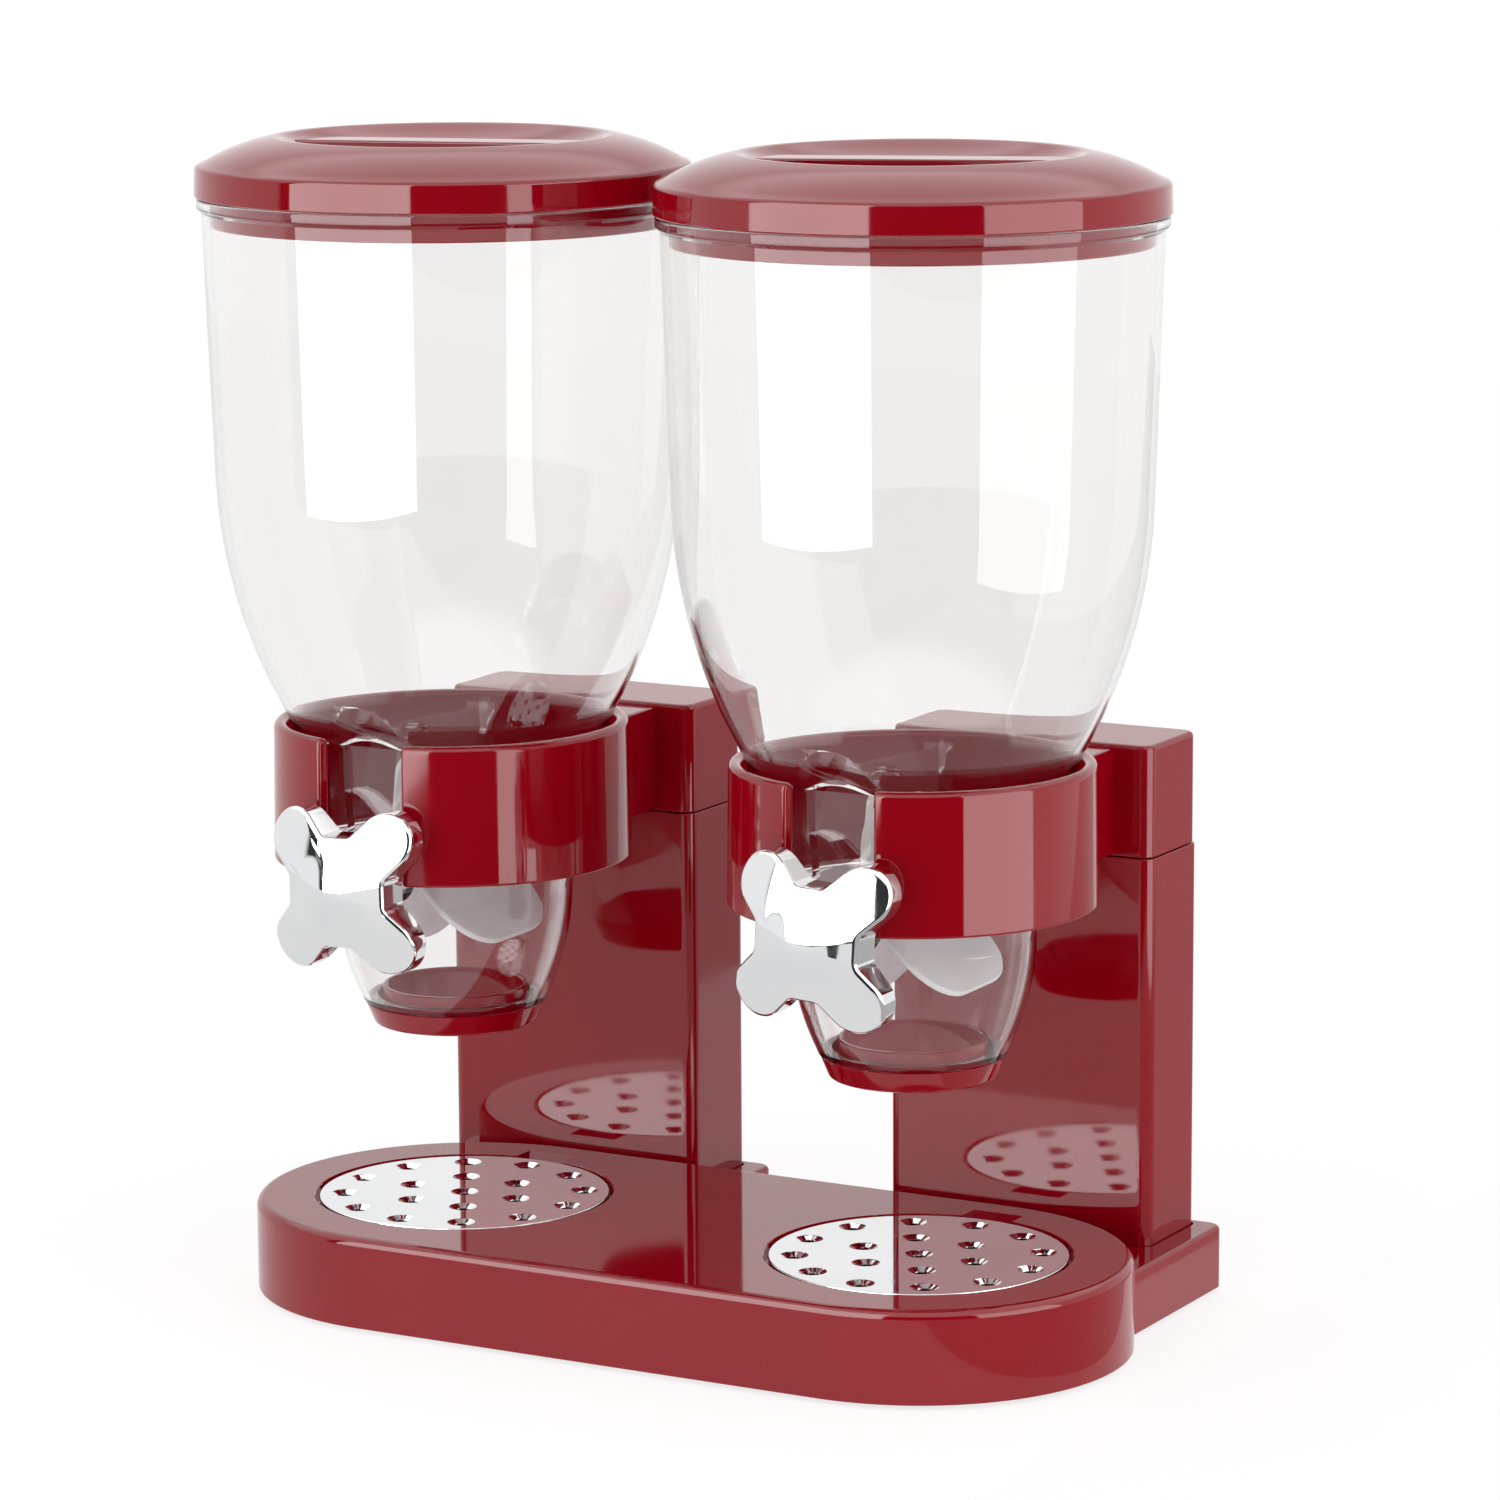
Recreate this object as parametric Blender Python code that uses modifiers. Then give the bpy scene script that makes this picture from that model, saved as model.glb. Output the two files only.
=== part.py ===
"""Twin dry-food dispenser: two clear canisters held in collars on two columns over one base.

Metres, +Z up, knobs towards -Y. Origin: middle of the footprint on the surface it stands on.
"""
import math

import bmesh
import bpy

# ---- driving dimensions -------------------------------------------------------------------
UNIT_SPACING = 0.1692        # between the two canister axes
CANISTER_Y = -0.0170         # canister and collar axis
DECK_Y = -0.0132             # middle of the deck and of the drip grilles
CLEAR = 0.0003               # gap between pieces that touch
OVER = 0.010                 # how far a cutter runs past the face it opens

FOOT_R = 0.0080
FOOT_H = 0.0022
BASE_Z0 = 0.0015             # underside of the base mouldings
DECK_Z = 0.0315              # top of the deck
DECK_R = 0.0686              # round ends of the deck
DECK_WALL = 0.0025
DECK_EDGE_R = 0.0030
BLOCK_Z = 0.0225             # top of the two socket blocks behind the deck
BLOCK_HALF_W = 0.0565
BLOCK_BACK_Y = 0.0970
BLOCK_CORNER_R = 0.0050
BLOCK_EDGE_R = 0.0015
BLOCK_HOLLOW_Y0 = 0.0100     # front of the hollows under the blocks
SOCKET_Z = 0.0165            # floor of the column sockets
SOCKET_GAP = 0.0006
SOCKET_FLOOR_Z0 = 0.0135
PLATE_Z1 = 0.0040            # top of the plate that closes the base

GRILLE_R = 0.0479
GRILLE_T = 0.0020
RECESS_R = 0.0492
RECESS_DEPTH = 0.0026
WELL_R = 0.0455
WELL_Z = 0.0175
WELL_FLOOR_T = 0.0022
HOLE_R = 0.0025
SINK_R = 0.0045
SINK_DEPTH = 0.0012
HOLE_RING_R = 0.0395
NOTCH_HALF_W = 0.0090        # finger notch behind each grille
NOTCH_DEPTH = 0.0075
NOTCH_FRONT = 0.0440         # its floor and sloping back, from the middle of the deck
NOTCH_FLOOR = 0.0485
NOTCH_BACK = 0.0590
NOTCH_WALL = 0.0020

COLUMN_HALF_W = 0.0475
COLUMN_Y0 = 0.0568
COLUMN_Y1 = 0.0940
COLUMN_CORNER_R = 0.0045
COLUMN_WALL = 0.0025
COLUMN_Z1 = 0.1508           # joint line between the column and the bracket head
COLUMN_PLATE_T = 0.0030
HEAD_INSET = 0.0005          # the head is this much smaller than the column all round
HEAD_Z1 = 0.1873
HEAD_EDGE_R = 0.0015
HEAD_BORE_CORNER_R = 0.0020
NECK_HALF_W = 0.0340
NECK_Z0 = 0.1515
NECK_Z1 = 0.1860

COLLAR_R_TOP = 0.0578
COLLAR_R_LOW = 0.0583
COLLAR_WALL = 0.0045
COLLAR_Z0 = 0.1464
COLLAR_Z1 = 0.1916
COLLAR_EDGE = 0.0010         # bevel round the collar's lower edge
GAP_HALF_W = 0.0154          # front gap of the collar
NECK_REACH = 0.0400          # where the neck starts, behind the canister axis
NECK_LAP = 0.0040            # how far the neck runs into the head

AXLE_Z = 0.1458              # axis of knob, shaft and metering wheel
SHAFT_R = 0.0040
SHAFT_FRONT_Y = -0.0800
SHAFT_REAR_Y = 0.0285
BUSH_R = 0.0055
BOSS_R = 0.0095
BOSS_FRONT_Y = -0.0750       # front end of the bearing boss
BOSS_REAR_Y = 0.0335
BOSS_INNER = 0.0378          # where the bosses meet the bowl, from the canister axis
BOSS_BORE_Y = 0.0200         # the bores start here, inside the bowl
BUSH_LENGTH = 0.0100
FACET_Y = -0.0655            # flat front of the canister neck

WALL = 0.0022                # canister wall
RIM_Z = 0.3675
RIM_R = 0.0775
FLANGE_R = 0.0793
FLANGE_Z0 = 0.3580
FLANGE_Z1 = 0.3619
FLANGE_EDGE = 0.0008
BODY_R = 0.0778              # canister just under the flange
TAPER_R = 0.0749             # where the straight taper ends
TAPER_Z = 0.2715
BULGE_R = 0.1698             # radius of the arc in to the neck
BULGE_DROP = 0.0740
NECK_R = 0.0516
NECK_TOP_Z = 0.1890
NECK_DRAFT = 0.0006          # the neck narrows by this on its way down
FLARE_R = 0.0008             # small flare where the neck meets the bulge
FLARE_H = 0.0028
SHOULDER_Z = 0.1475
SHOULDER_R = 0.0050
FACET_SLOPE_Y = 0.0100       # the flat leans out by this much over the height below
FACET_SLOPE_Z = 0.0150
FACET_HALF_W = 0.0500        # half width of its cutter, wider than the neck
PANE_GAP = 0.0005            # the pane stands this far inside the flat
BOWL_R = 0.0390              # bowl that holds the metering wheel
BOWL_Z = 0.1375
BOWL_ARC_R = 0.0893
OUTLET_Z = 0.0985
SPIGOT_R = 0.0274
SPIGOT_Z0 = 0.0954
SPIGOT_BORE_R = 0.0246

RING_Z0 = 0.0907             # red outlet ring
RING_Z1 = 0.0978
RING_R_TOP = 0.0293
RING_R_LOW = 0.0266
SLEEVE_Z1 = 0.1035
SLEEVE_R = 0.0242
SLEEVE_BORE_R = 0.0222
SLEEVE_EDGE = 0.0004
SLEEVE_DRAFT = 0.0002

VANES = 5
VANE_R = 0.0340
VANE_HALF_W = 0.0280
VANE_CORNER_R = 0.0180
VANE_T = 0.0022
VANE_PHASE = math.radians(-8.0)
HUB_R = 0.0075
HUB_LAP = 0.0020             # the hub stands out past the vanes

KNOB_BACK_Y = -0.0760        # flat back of the knob
KNOB_Y0 = -0.0905            # middle of its convex front, without the dome
KNOB_CROWN_R = 0.0730        # radius of that front
KNOB_LOBES = 4
LOBE_R = 0.0092              # round end of a lobe, and how far out it is centred
LOBE_REACH = 0.0238
WAIST_R = 0.0177             # flat between two lobes, and the fillets at its ends
WAIST_HALF_W = 0.0030
WAIST_FILLET_R = 0.0040
KNOB_EDGE_R = 0.0012
KNOB_TURN = {"left": math.radians(1.0), "right": math.radians(-3.5)}
KNOB_RINGS = (0.8, 0.6, 0.42, 0.28, 0.14)   # steps of the front towards the middle
DOME_R = 0.0150
DOME_RISE = 0.0016

LID_R = 0.0800
LID_Z0 = 0.3622
LID_EDGE_Z = 0.3722
LID_RIM_R = 0.0540           # rim of the finger scoop
LID_RIM_Z = 0.3808
SCOOP_Z = 0.3722             # lowest point of the dished scoop
SCOOP_POWER = 3              # flat in the middle, steep at the rim
SCOOP_STEPS = 9
LID_SHOULDER_R = 0.0783      # outer end of the sloping top
LID_EDGE = 0.0010
LID_SWELL = 0.0006           # bulge of the sloping top
LID_WALL = 0.0022
SKIRT_BORE_R = 0.0779
PLUG_R = 0.0750
PLUG_BORE_R = 0.0728
PLUG_Z0 = 0.3529
PLUG_DRAFT = 0.0002
LID_SLOT_Z = 0.3698          # roof of the slot that takes the canister rim
BAR_HALF_W = 0.0075
BAR_Z1 = 0.3791
BAR_END_GAP = 0.0030         # between the bar's end and the rim of the scoop
BAR_ROOT = 0.0010
LID_TURN = {"left": math.radians(14.5), "right": math.radians(20.0)}

SCREW_R = 0.0015
SCREW_HEAD_R = 0.0030
SCREW_HEAD_H = 0.0020
SCREW_BOSS_R = 0.0042
COLUMN_SCREW_X = 0.0416
HEAD_SCREW_X = 0.0250
SCREW_LENGTH = 0.0120
SCREW_BOSS_LAP = 0.0040      # the column boss is longer than its screw
FOOT_FRONT = (0.0300, -0.0450)   # from each end axis outwards, and y
FOOT_REAR = (0.0380, 0.0780)     # both sides of each axis, and y

ROUND = 32                   # facets round a large turned piece
SMALL = 16
TINY = 10
HOLE_SIDES = 6
SIDES = {"left": -1.0, "right": 1.0}
COLUMN_MID_Y = (COLUMN_Y0 + COLUMN_Y1) / 2

RED = ("red_gloss_abs", (0.25, 0.004, 0.010), 0.08, 0.0, 1.0)
CLEAR_SAN = ("clear_san", (0.86, 0.88, 0.95), 0.04, 0.0, 0.35)
CHROME = ("chrome_plate", (0.80, 0.81, 0.83), 0.05, 1.0, 1.0)
SILICONE = ("white_silicone", (0.85, 0.84, 0.86), 0.45, 0.0, 1.0)
ACETAL = ("white_acetal", (0.80, 0.80, 0.78), 0.35, 0.0, 1.0)
BLACK_ABS = ("black_abs", (0.02, 0.02, 0.02), 0.50, 0.0, 1.0)
RUBBER = ("black_rubber", (0.03, 0.03, 0.03), 0.80, 0.0, 1.0)
STEEL = ("zinc_steel", (0.60, 0.61, 0.63), 0.30, 1.0, 1.0)


# ---- scene helpers ------------------------------------------------------------------------
def clear_scene():
    for obj in list(bpy.data.objects):
        bpy.data.objects.remove(obj)


def collection(name):
    made = bpy.data.collections.new(name)
    bpy.context.scene.collection.children.link(made)
    return made


def material(finish, node):
    name, colour, roughness, metallic, alpha = finish
    mat = bpy.data.materials.new(f"{name}_{node}")
    mat.use_nodes = True
    shader = mat.node_tree.nodes["Principled BSDF"]
    shader.inputs["Base Color"].default_value = (*colour, 1.0)
    shader.inputs["Roughness"].default_value = roughness
    shader.inputs["Metallic"].default_value = metallic
    shader.inputs["Alpha"].default_value = alpha
    return mat


def place(name, mesh, home, finish=None):
    """Link a mesh as a finished piece, or as a cutter when it has no finish."""
    obj = bpy.data.objects.new(name, mesh)
    home.objects.link(obj)
    if finish is None:
        obj.hide_render = True
        obj.display_type = 'WIRE'
        return obj
    mesh.shade_smooth()
    mesh.set_sharp_from_angle(angle=math.radians(35.0))
    mesh.materials.append(material(finish, name))
    return obj


def to_mesh(name, bm):
    bmesh.ops.recalc_face_normals(bm, faces=bm.faces)
    mesh = bpy.data.meshes.new(name)
    bm.to_mesh(mesh)
    bm.free()
    return mesh


def arc(cx, cy, radius, start, end, steps):
    """Points on an arc; angles in degrees, anticlockwise when end > start."""
    points = []
    for i in range(steps + 1):
        angle = math.radians(start + (end - start) * i / steps)
        points.append((cx + radius * math.cos(angle), cy + radius * math.sin(angle)))
    return points


def rounded_box(half_w, y0, y1, radius, steps=4):
    outline = arc(half_w - radius, y1 - radius, radius, 0, 90, steps)
    outline += arc(-half_w + radius, y1 - radius, radius, 90, 180, steps)
    outline += arc(-half_w + radius, y0 + radius, radius, 180, 270, steps)
    outline += arc(half_w - radius, y0 + radius, radius, 270, 360, steps)
    return outline


def prism(name, outline, low, high, home, finish=None, along="Z", edge=0.0, x=0.0):
    """Extrude an outline along Z, or a (y, z) outline along X or an (x, z) one along Y."""
    bm = bmesh.new()
    spots = {"Z": lambda a, b, c: (a + x, b, c), "X": lambda a, b, c: (c + x, a, b),
             "Y": lambda a, b, c: (a + x, c, b)}
    spot = spots[along]
    face = bm.faces.new([bm.verts.new(spot(a, b, low)) for a, b in outline])
    step = [q - p for p, q in zip(spot(0.0, 0.0, low), spot(0.0, 0.0, high))]
    made = bmesh.ops.extrude_face_region(bm, geom=[face])
    top = [g for g in made["geom"] if isinstance(g, bmesh.types.BMVert)]
    bmesh.ops.translate(bm, vec=step, verts=top)
    if edge:
        ring = [e for e in bm.edges if all(v in top for v in e.verts)]
        bmesh.ops.bevel(bm, geom=ring, offset=edge, segments=2, profile=0.5, affect='EDGES')
    return place(name, to_mesh(name, bm), home, finish)


def box(name, x0, x1, y0, y1, z0, z1, home, finish=None):
    outline = [(x0, y0), (x1, y0), (x1, y1), (x0, y1)]
    return prism(name, outline, z0, z1, home, finish)


def turned(name, outline, centre, home, finish=None, steps=ROUND, closed=False):
    """Turn an (r, z) outline about a vertical axis; the outline runs down the outer side."""
    mesh = bpy.data.meshes.new(name)
    count = len(outline)
    edges = [(i, i + 1) for i in range(count - 1)]
    if closed:
        edges.append((count - 1, 0))
    mesh.from_pydata([(r, 0.0, z) for r, z in outline], edges, [])
    obj = place(name, mesh, home, finish)
    obj.location = (centre[0], centre[1], 0.0)
    screw = obj.modifiers.new("Turn", 'SCREW')
    screw.steps = steps
    screw.render_steps = steps
    screw.use_merge_vertices = True
    screw.merge_threshold = 0.00001
    screw.use_smooth_shade = True
    return obj


def rod(name, x, radius, start, end, home, finish=None, along="Z", at=(0.0, 0.0), steps=SMALL):
    """A cylinder along Z at (x, at[0]) or along Y at height at[1]."""
    bm = bmesh.new()
    bmesh.ops.create_cone(bm, cap_ends=True, segments=steps, radius1=radius, radius2=radius,
                          depth=end - start)
    middle = (start + end) / 2
    if along == "Y":
        turn = ((1, 0, 0, x), (0, 0, 1, middle), (0, -1, 0, at[1]), (0, 0, 0, 1))
    else:
        turn = ((1, 0, 0, x), (0, 1, 0, at[0]), (0, 0, 1, middle), (0, 0, 0, 1))
    for v in bm.verts:
        v.co = [sum(row[k] * c for k, c in enumerate((*v.co, 1.0))) for row in turn[:3]]
    return place(name, to_mesh(name, bm), home, finish)


def combine(obj, other, operation):
    modifier = obj.modifiers.new(other.name, 'BOOLEAN')
    modifier.operation = operation
    modifier.solver = 'EXACT'
    modifier.object = other


def cut(obj, *others):
    for other in others:
        combine(obj, other, 'DIFFERENCE')


def join(obj, *others):
    for other in others:
        combine(obj, other, 'UNION')


# ---- base ---------------------------------------------------------------------------------
def deck_outline(inset):
    half = UNIT_SPACING / 2
    radius = DECK_R - inset
    right = arc(half, DECK_Y, radius, -90, 90, ROUND // 2)
    return right + arc(-half, DECK_Y, radius, 90, 270, ROUND // 2)


def block_outline(inset, front=0.0):
    return rounded_box(BLOCK_HALF_W - inset, front, BLOCK_BACK_Y - inset,
                       BLOCK_CORNER_R - min(inset, 0.002))


def column_outline(inset):
    return rounded_box(COLUMN_HALF_W - inset, COLUMN_Y0 + inset, COLUMN_Y1 - inset,
                       COLUMN_CORNER_R - inset * 0.6)


def base_deck(parts, tools):
    deck = prism("base_deck", deck_outline(0.0), BASE_Z0, DECK_Z, parts, RED, edge=DECK_EDGE_R)
    hollow = prism("deck_hollow", deck_outline(DECK_WALL), -BASE_Z0, DECK_Z - DECK_WALL, tools)
    for side, sign in SIDES.items():
        x = sign * UNIT_SPACING / 2
        keep = rod(f"well_keep_{side}", x, WELL_R + DECK_WALL, WELL_Z - WELL_FLOOR_T, DECK_Z,
                   tools, at=(DECK_Y, 0.0), steps=ROUND)
        ledge = rod(f"ledge_keep_{side}", x, RECESS_R + DECK_WALL,
                    DECK_Z - RECESS_DEPTH - DECK_WALL, DECK_Z, tools, at=(DECK_Y, 0.0),
                    steps=ROUND)
        notch_half = NOTCH_HALF_W + NOTCH_WALL
        notch_keep = box(f"notch_keep_{side}", x - notch_half, x + notch_half,
                         DECK_Y + NOTCH_FRONT - 2 * NOTCH_WALL,
                         DECK_Y + NOTCH_BACK + 1.5 * NOTCH_WALL,
                         DECK_Z - NOTCH_DEPTH - NOTCH_WALL, DECK_Z, tools)
        cut(hollow, keep, ledge, notch_keep)
        block = prism(f"block_{side}", block_outline(0.0), BASE_Z0, BLOCK_Z, tools,
                      edge=BLOCK_EDGE_R, x=x)
        join(deck, block)
    cut(deck, hollow)
    for side, sign in SIDES.items():
        x = sign * UNIT_SPACING / 2
        under = prism(f"block_hollow_{side}", block_outline(DECK_WALL, BLOCK_HOLLOW_Y0), -BASE_Z0,
                      SOCKET_FLOOR_Z0, tools, x=x)
        socket = prism(f"socket_{side}", column_outline(-SOCKET_GAP), SOCKET_Z, DECK_Z * 2, tools,
                       x=x)
        recess = rod(f"recess_{side}", x, RECESS_R, DECK_Z - RECESS_DEPTH, DECK_Z * 2, tools,
                     at=(DECK_Y, 0.0), steps=ROUND)
        well = rod(f"well_{side}", x, WELL_R, WELL_Z, DECK_Z * 2, tools, at=(DECK_Y, 0.0),
                   steps=ROUND)
        notch_top = DECK_Z + NOTCH_WALL
        notch_floor = DECK_Z - NOTCH_DEPTH
        notch_outline = [(DECK_Y + NOTCH_FRONT, notch_top), (DECK_Y + NOTCH_FRONT, notch_floor),
                         (DECK_Y + NOTCH_FLOOR, notch_floor), (DECK_Y + NOTCH_BACK, notch_top)]
        notch = prism(f"notch_{side}", notch_outline, -NOTCH_HALF_W, NOTCH_HALF_W, tools,
                      along="X", x=x)
        cut(deck, under, socket, recess, well, notch)
        for end in (-1, 1):
            hole = rod(f"column_screw_hole_{side}_{end}", x + end * COLUMN_SCREW_X,
                       SCREW_R + CLEAR, 0.0, SOCKET_Z * 1.5, tools, at=(COLUMN_MID_Y, 0.0),
                       steps=TINY)
            cut(deck, hole)
    return deck


def foot_spots():
    half = UNIT_SPACING / 2
    spots = [(sign * (half + FOOT_FRONT[0]), FOOT_FRONT[1]) for sign in (-1, 1)]
    for shift in (FOOT_REAR[0], -FOOT_REAR[0]):
        spots += [(sign * (half + shift), FOOT_REAR[1]) for sign in (-1, 1)]
    return spots


def base_plate(parts, tools):
    gap = DECK_WALL + CLEAR
    plate = prism("base_plate", deck_outline(gap), BASE_Z0, PLATE_Z1, parts, BLACK_ABS)
    for side, sign in SIDES.items():
        outline = block_outline(gap, BLOCK_HOLLOW_Y0 + 2 * CLEAR)
        wing = prism(f"plate_wing_{side}", outline, BASE_Z0, PLATE_Z1, tools,
                     x=sign * UNIT_SPACING / 2)
        join(plate, wing)
    for i, (x, y) in enumerate(foot_spots()):
        seat = rod(f"foot_seat_{i}", x, FOOT_R + CLEAR, -BASE_Z0, FOOT_H + CLEAR, tools,
                   at=(y, 0.0))
        cut(plate, seat)
        rod(f"foot_{i + 1}", x, FOOT_R, 0.0, FOOT_H, parts, RUBBER, at=(y, 0.0))


def drip_grille(side, x, parts, tools):
    top = DECK_Z - 0.0002
    grille = rod(f"drip_grille_{side}", x, GRILLE_R, top - GRILLE_T, top, parts, CHROME,
                 at=(DECK_Y, 0.0), steps=ROUND)
    spots = [(0.0, 0.0)]
    for count, radius in ((6, HOLE_RING_R / 2), (12, HOLE_RING_R)):
        for i in range(count):
            angle = 2 * math.pi * i / count
            spots.append((radius * math.cos(angle), radius * math.sin(angle)))
    widen = (SINK_R - HOLE_R) / SINK_DEPTH
    bit = [(0.0, top + GRILLE_T), (SINK_R + widen * GRILLE_T, top + GRILLE_T),
           (HOLE_R, top - SINK_DEPTH), (HOLE_R, top - 2 * GRILLE_T), (0.0, top - 2 * GRILLE_T)]
    for i, (dx, dy) in enumerate(spots):
        drill = turned(f"drill_{side}_{i}", bit, (x + dx, DECK_Y + dy), tools, steps=HOLE_SIDES)
        cut(grille, drill)


# ---- stand --------------------------------------------------------------------------------
def column(side, x, parts, tools):
    foot_z = SOCKET_Z + CLEAR
    top_z = COLUMN_Z1 - CLEAR
    mid = (COLUMN_MID_Y, 0.0)
    body = prism(f"column_{side}", column_outline(0.0), foot_z, top_z, parts, RED, x=x)
    hollow = prism(f"column_hollow_{side}", column_outline(COLUMN_WALL), 0.0,
                   top_z - COLUMN_PLATE_T, tools, x=x)
    cut(body, hollow)
    for end in (-1, 1):
        foot_x = x + end * COLUMN_SCREW_X
        boss = rod(f"column_boss_{side}_{end}", foot_x, SCREW_BOSS_R, foot_z,
                   foot_z + SCREW_LENGTH + SCREW_BOSS_LAP, tools, at=mid, steps=TINY)
        cut(hollow, boss)
        pilot = rod(f"column_pilot_{side}_{end}", foot_x, SCREW_R + CLEAR, 0.0,
                    foot_z + SCREW_LENGTH, tools, at=mid, steps=TINY)
        hole = rod(f"column_top_hole_{side}_{end}", x + end * HEAD_SCREW_X, SCREW_R + CLEAR,
                   COLUMN_Z1 - OVER, COLUMN_Z1 + OVER, tools, at=mid, steps=TINY)
        cut(body, pilot, hole)


def collar_outline():
    """Ring section: down the outer side from the rounded top lip, up the inner side."""
    lip = COLLAR_WALL / 2
    inner_top = COLLAR_R_TOP - COLLAR_WALL
    outline = arc(COLLAR_R_TOP - lip, COLLAR_Z1 - lip, lip, 90, 0, 3)
    outline += [(COLLAR_R_LOW, COLLAR_Z0 + COLLAR_EDGE), (COLLAR_R_LOW - COLLAR_EDGE, COLLAR_Z0)]
    outline += [(COLLAR_R_LOW - COLLAR_WALL, COLLAR_Z0)]
    outline += arc(inner_top + lip, COLLAR_Z1 - lip, lip, 180, 110, 2)
    return outline


def collar_bracket(side, x, parts, tools):
    head = rounded_box(COLUMN_HALF_W - HEAD_INSET, COLUMN_Y0 + HEAD_INSET,
                       COLUMN_Y1 - HEAD_INSET, COLUMN_CORNER_R)
    bracket = prism(f"collar_bracket_{side}", head, COLUMN_Z1, HEAD_Z1, parts, RED,
                    edge=HEAD_EDGE_R, x=x)
    ring = turned(f"collar_ring_{side}", collar_outline(), (x, CANISTER_Y), tools, closed=True)
    neck = box(f"neck_{side}", x - NECK_HALF_W, x + NECK_HALF_W, CANISTER_Y + NECK_REACH,
               COLUMN_Y0 + NECK_LAP, NECK_Z0, NECK_Z1, tools)
    hollow_outline = rounded_box(COLUMN_HALF_W - HEAD_INSET - COLUMN_WALL,
                                 COLUMN_Y0 + HEAD_INSET + COLUMN_WALL,
                                 COLUMN_Y1 - HEAD_INSET - COLUMN_WALL, HEAD_BORE_CORNER_R)
    hollow = prism(f"head_hollow_{side}", hollow_outline, COLLAR_Z0 - OVER,
                   HEAD_Z1 - COLUMN_WALL, tools, x=x)
    neck_hollow = box(f"neck_hollow_{side}", x - NECK_HALF_W + COLUMN_WALL,
                      x + NECK_HALF_W - COLUMN_WALL, CANISTER_Y + COLLAR_R_LOW + HEAD_EDGE_R,
                      COLUMN_Y0 + OVER, NECK_Z0 - OVER, NECK_Z1 - COLUMN_WALL, tools)
    bore = rod(f"collar_bore_{side}", x, COLLAR_R_TOP - COLLAR_WALL, COLLAR_Z0 - OVER,
               COLLAR_Z1 + OVER, tools, at=(CANISTER_Y, 0.0), steps=ROUND)
    gap = box(f"collar_gap_{side}", x - GAP_HALF_W, x + GAP_HALF_W,
              CANISTER_Y - COLLAR_R_LOW - OVER, CANISTER_Y - COLLAR_R_LOW / 2,
              COLLAR_Z0 - OVER, COLLAR_Z1 + OVER, tools)
    cut(neck, bore)
    for end in (-1, 1):
        boss = rod(f"head_boss_{side}_{end}", x + end * HEAD_SCREW_X, SCREW_BOSS_R,
                   COLUMN_Z1, HEAD_Z1, tools, at=(COLUMN_MID_Y, 0.0), steps=TINY)
        cut(hollow, boss)
    join(bracket, neck, ring)
    cut(bracket, hollow, neck_hollow, gap)
    for end in (-1, 1):
        pilot = rod(f"head_pilot_{side}_{end}", x + end * HEAD_SCREW_X, SCREW_R + CLEAR,
                    COLUMN_Z1 - OVER, COLUMN_Z1 + SCREW_LENGTH, tools, at=(COLUMN_MID_Y, 0.0),
                    steps=TINY)
        cut(bracket, pilot)


# ---- canister and lid ---------------------------------------------------------------------
def canister_side(inset):
    """Outer (inset 0) or inner side of the canister wall, from under the flange down."""
    start = math.asin((BODY_R - TAPER_R) / (FLANGE_Z0 - TAPER_Z))
    side = [(BODY_R - inset, FLANGE_Z0 - FLANGE_EDGE)]
    steps = 6
    for i in range(steps + 1):
        drop = BULGE_DROP * i / steps
        angle = math.asin(math.sin(start) + drop / BULGE_R)
        radius = TAPER_R - BULGE_R * (math.cos(start) - math.cos(angle))
        side.append((radius - inset, TAPER_Z - drop))
    side += [(NECK_R + FLARE_R - inset, NECK_TOP_Z + FLARE_H), (NECK_R - inset, NECK_TOP_Z)]
    side.append((NECK_R - NECK_DRAFT - inset, SHOULDER_Z + inset))
    side += arc(BOWL_R + 1.2 * SHOULDER_R - inset, SHOULDER_Z - SHOULDER_R + inset, SHOULDER_R,
                90, 180, 2)
    steps = 5
    height = BOWL_Z - OUTLET_Z
    for i in range(steps + 1):
        drop = height * i / steps
        radius = BOWL_R - BOWL_ARC_R * (1 - math.cos(math.asin(drop / BOWL_ARC_R)))
        side.append((radius - inset, BOWL_Z - drop))
    return side


def facet_line(offset):
    """Front of the neck in side view (y, z): upright, then leaning out under the bulge."""
    face = FACET_Y + offset
    return [(face, SHOULDER_Z - WALL / 2), (face, NECK_TOP_Z),
            (face - FACET_SLOPE_Y, NECK_TOP_Z + FACET_SLOPE_Z)]


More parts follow.
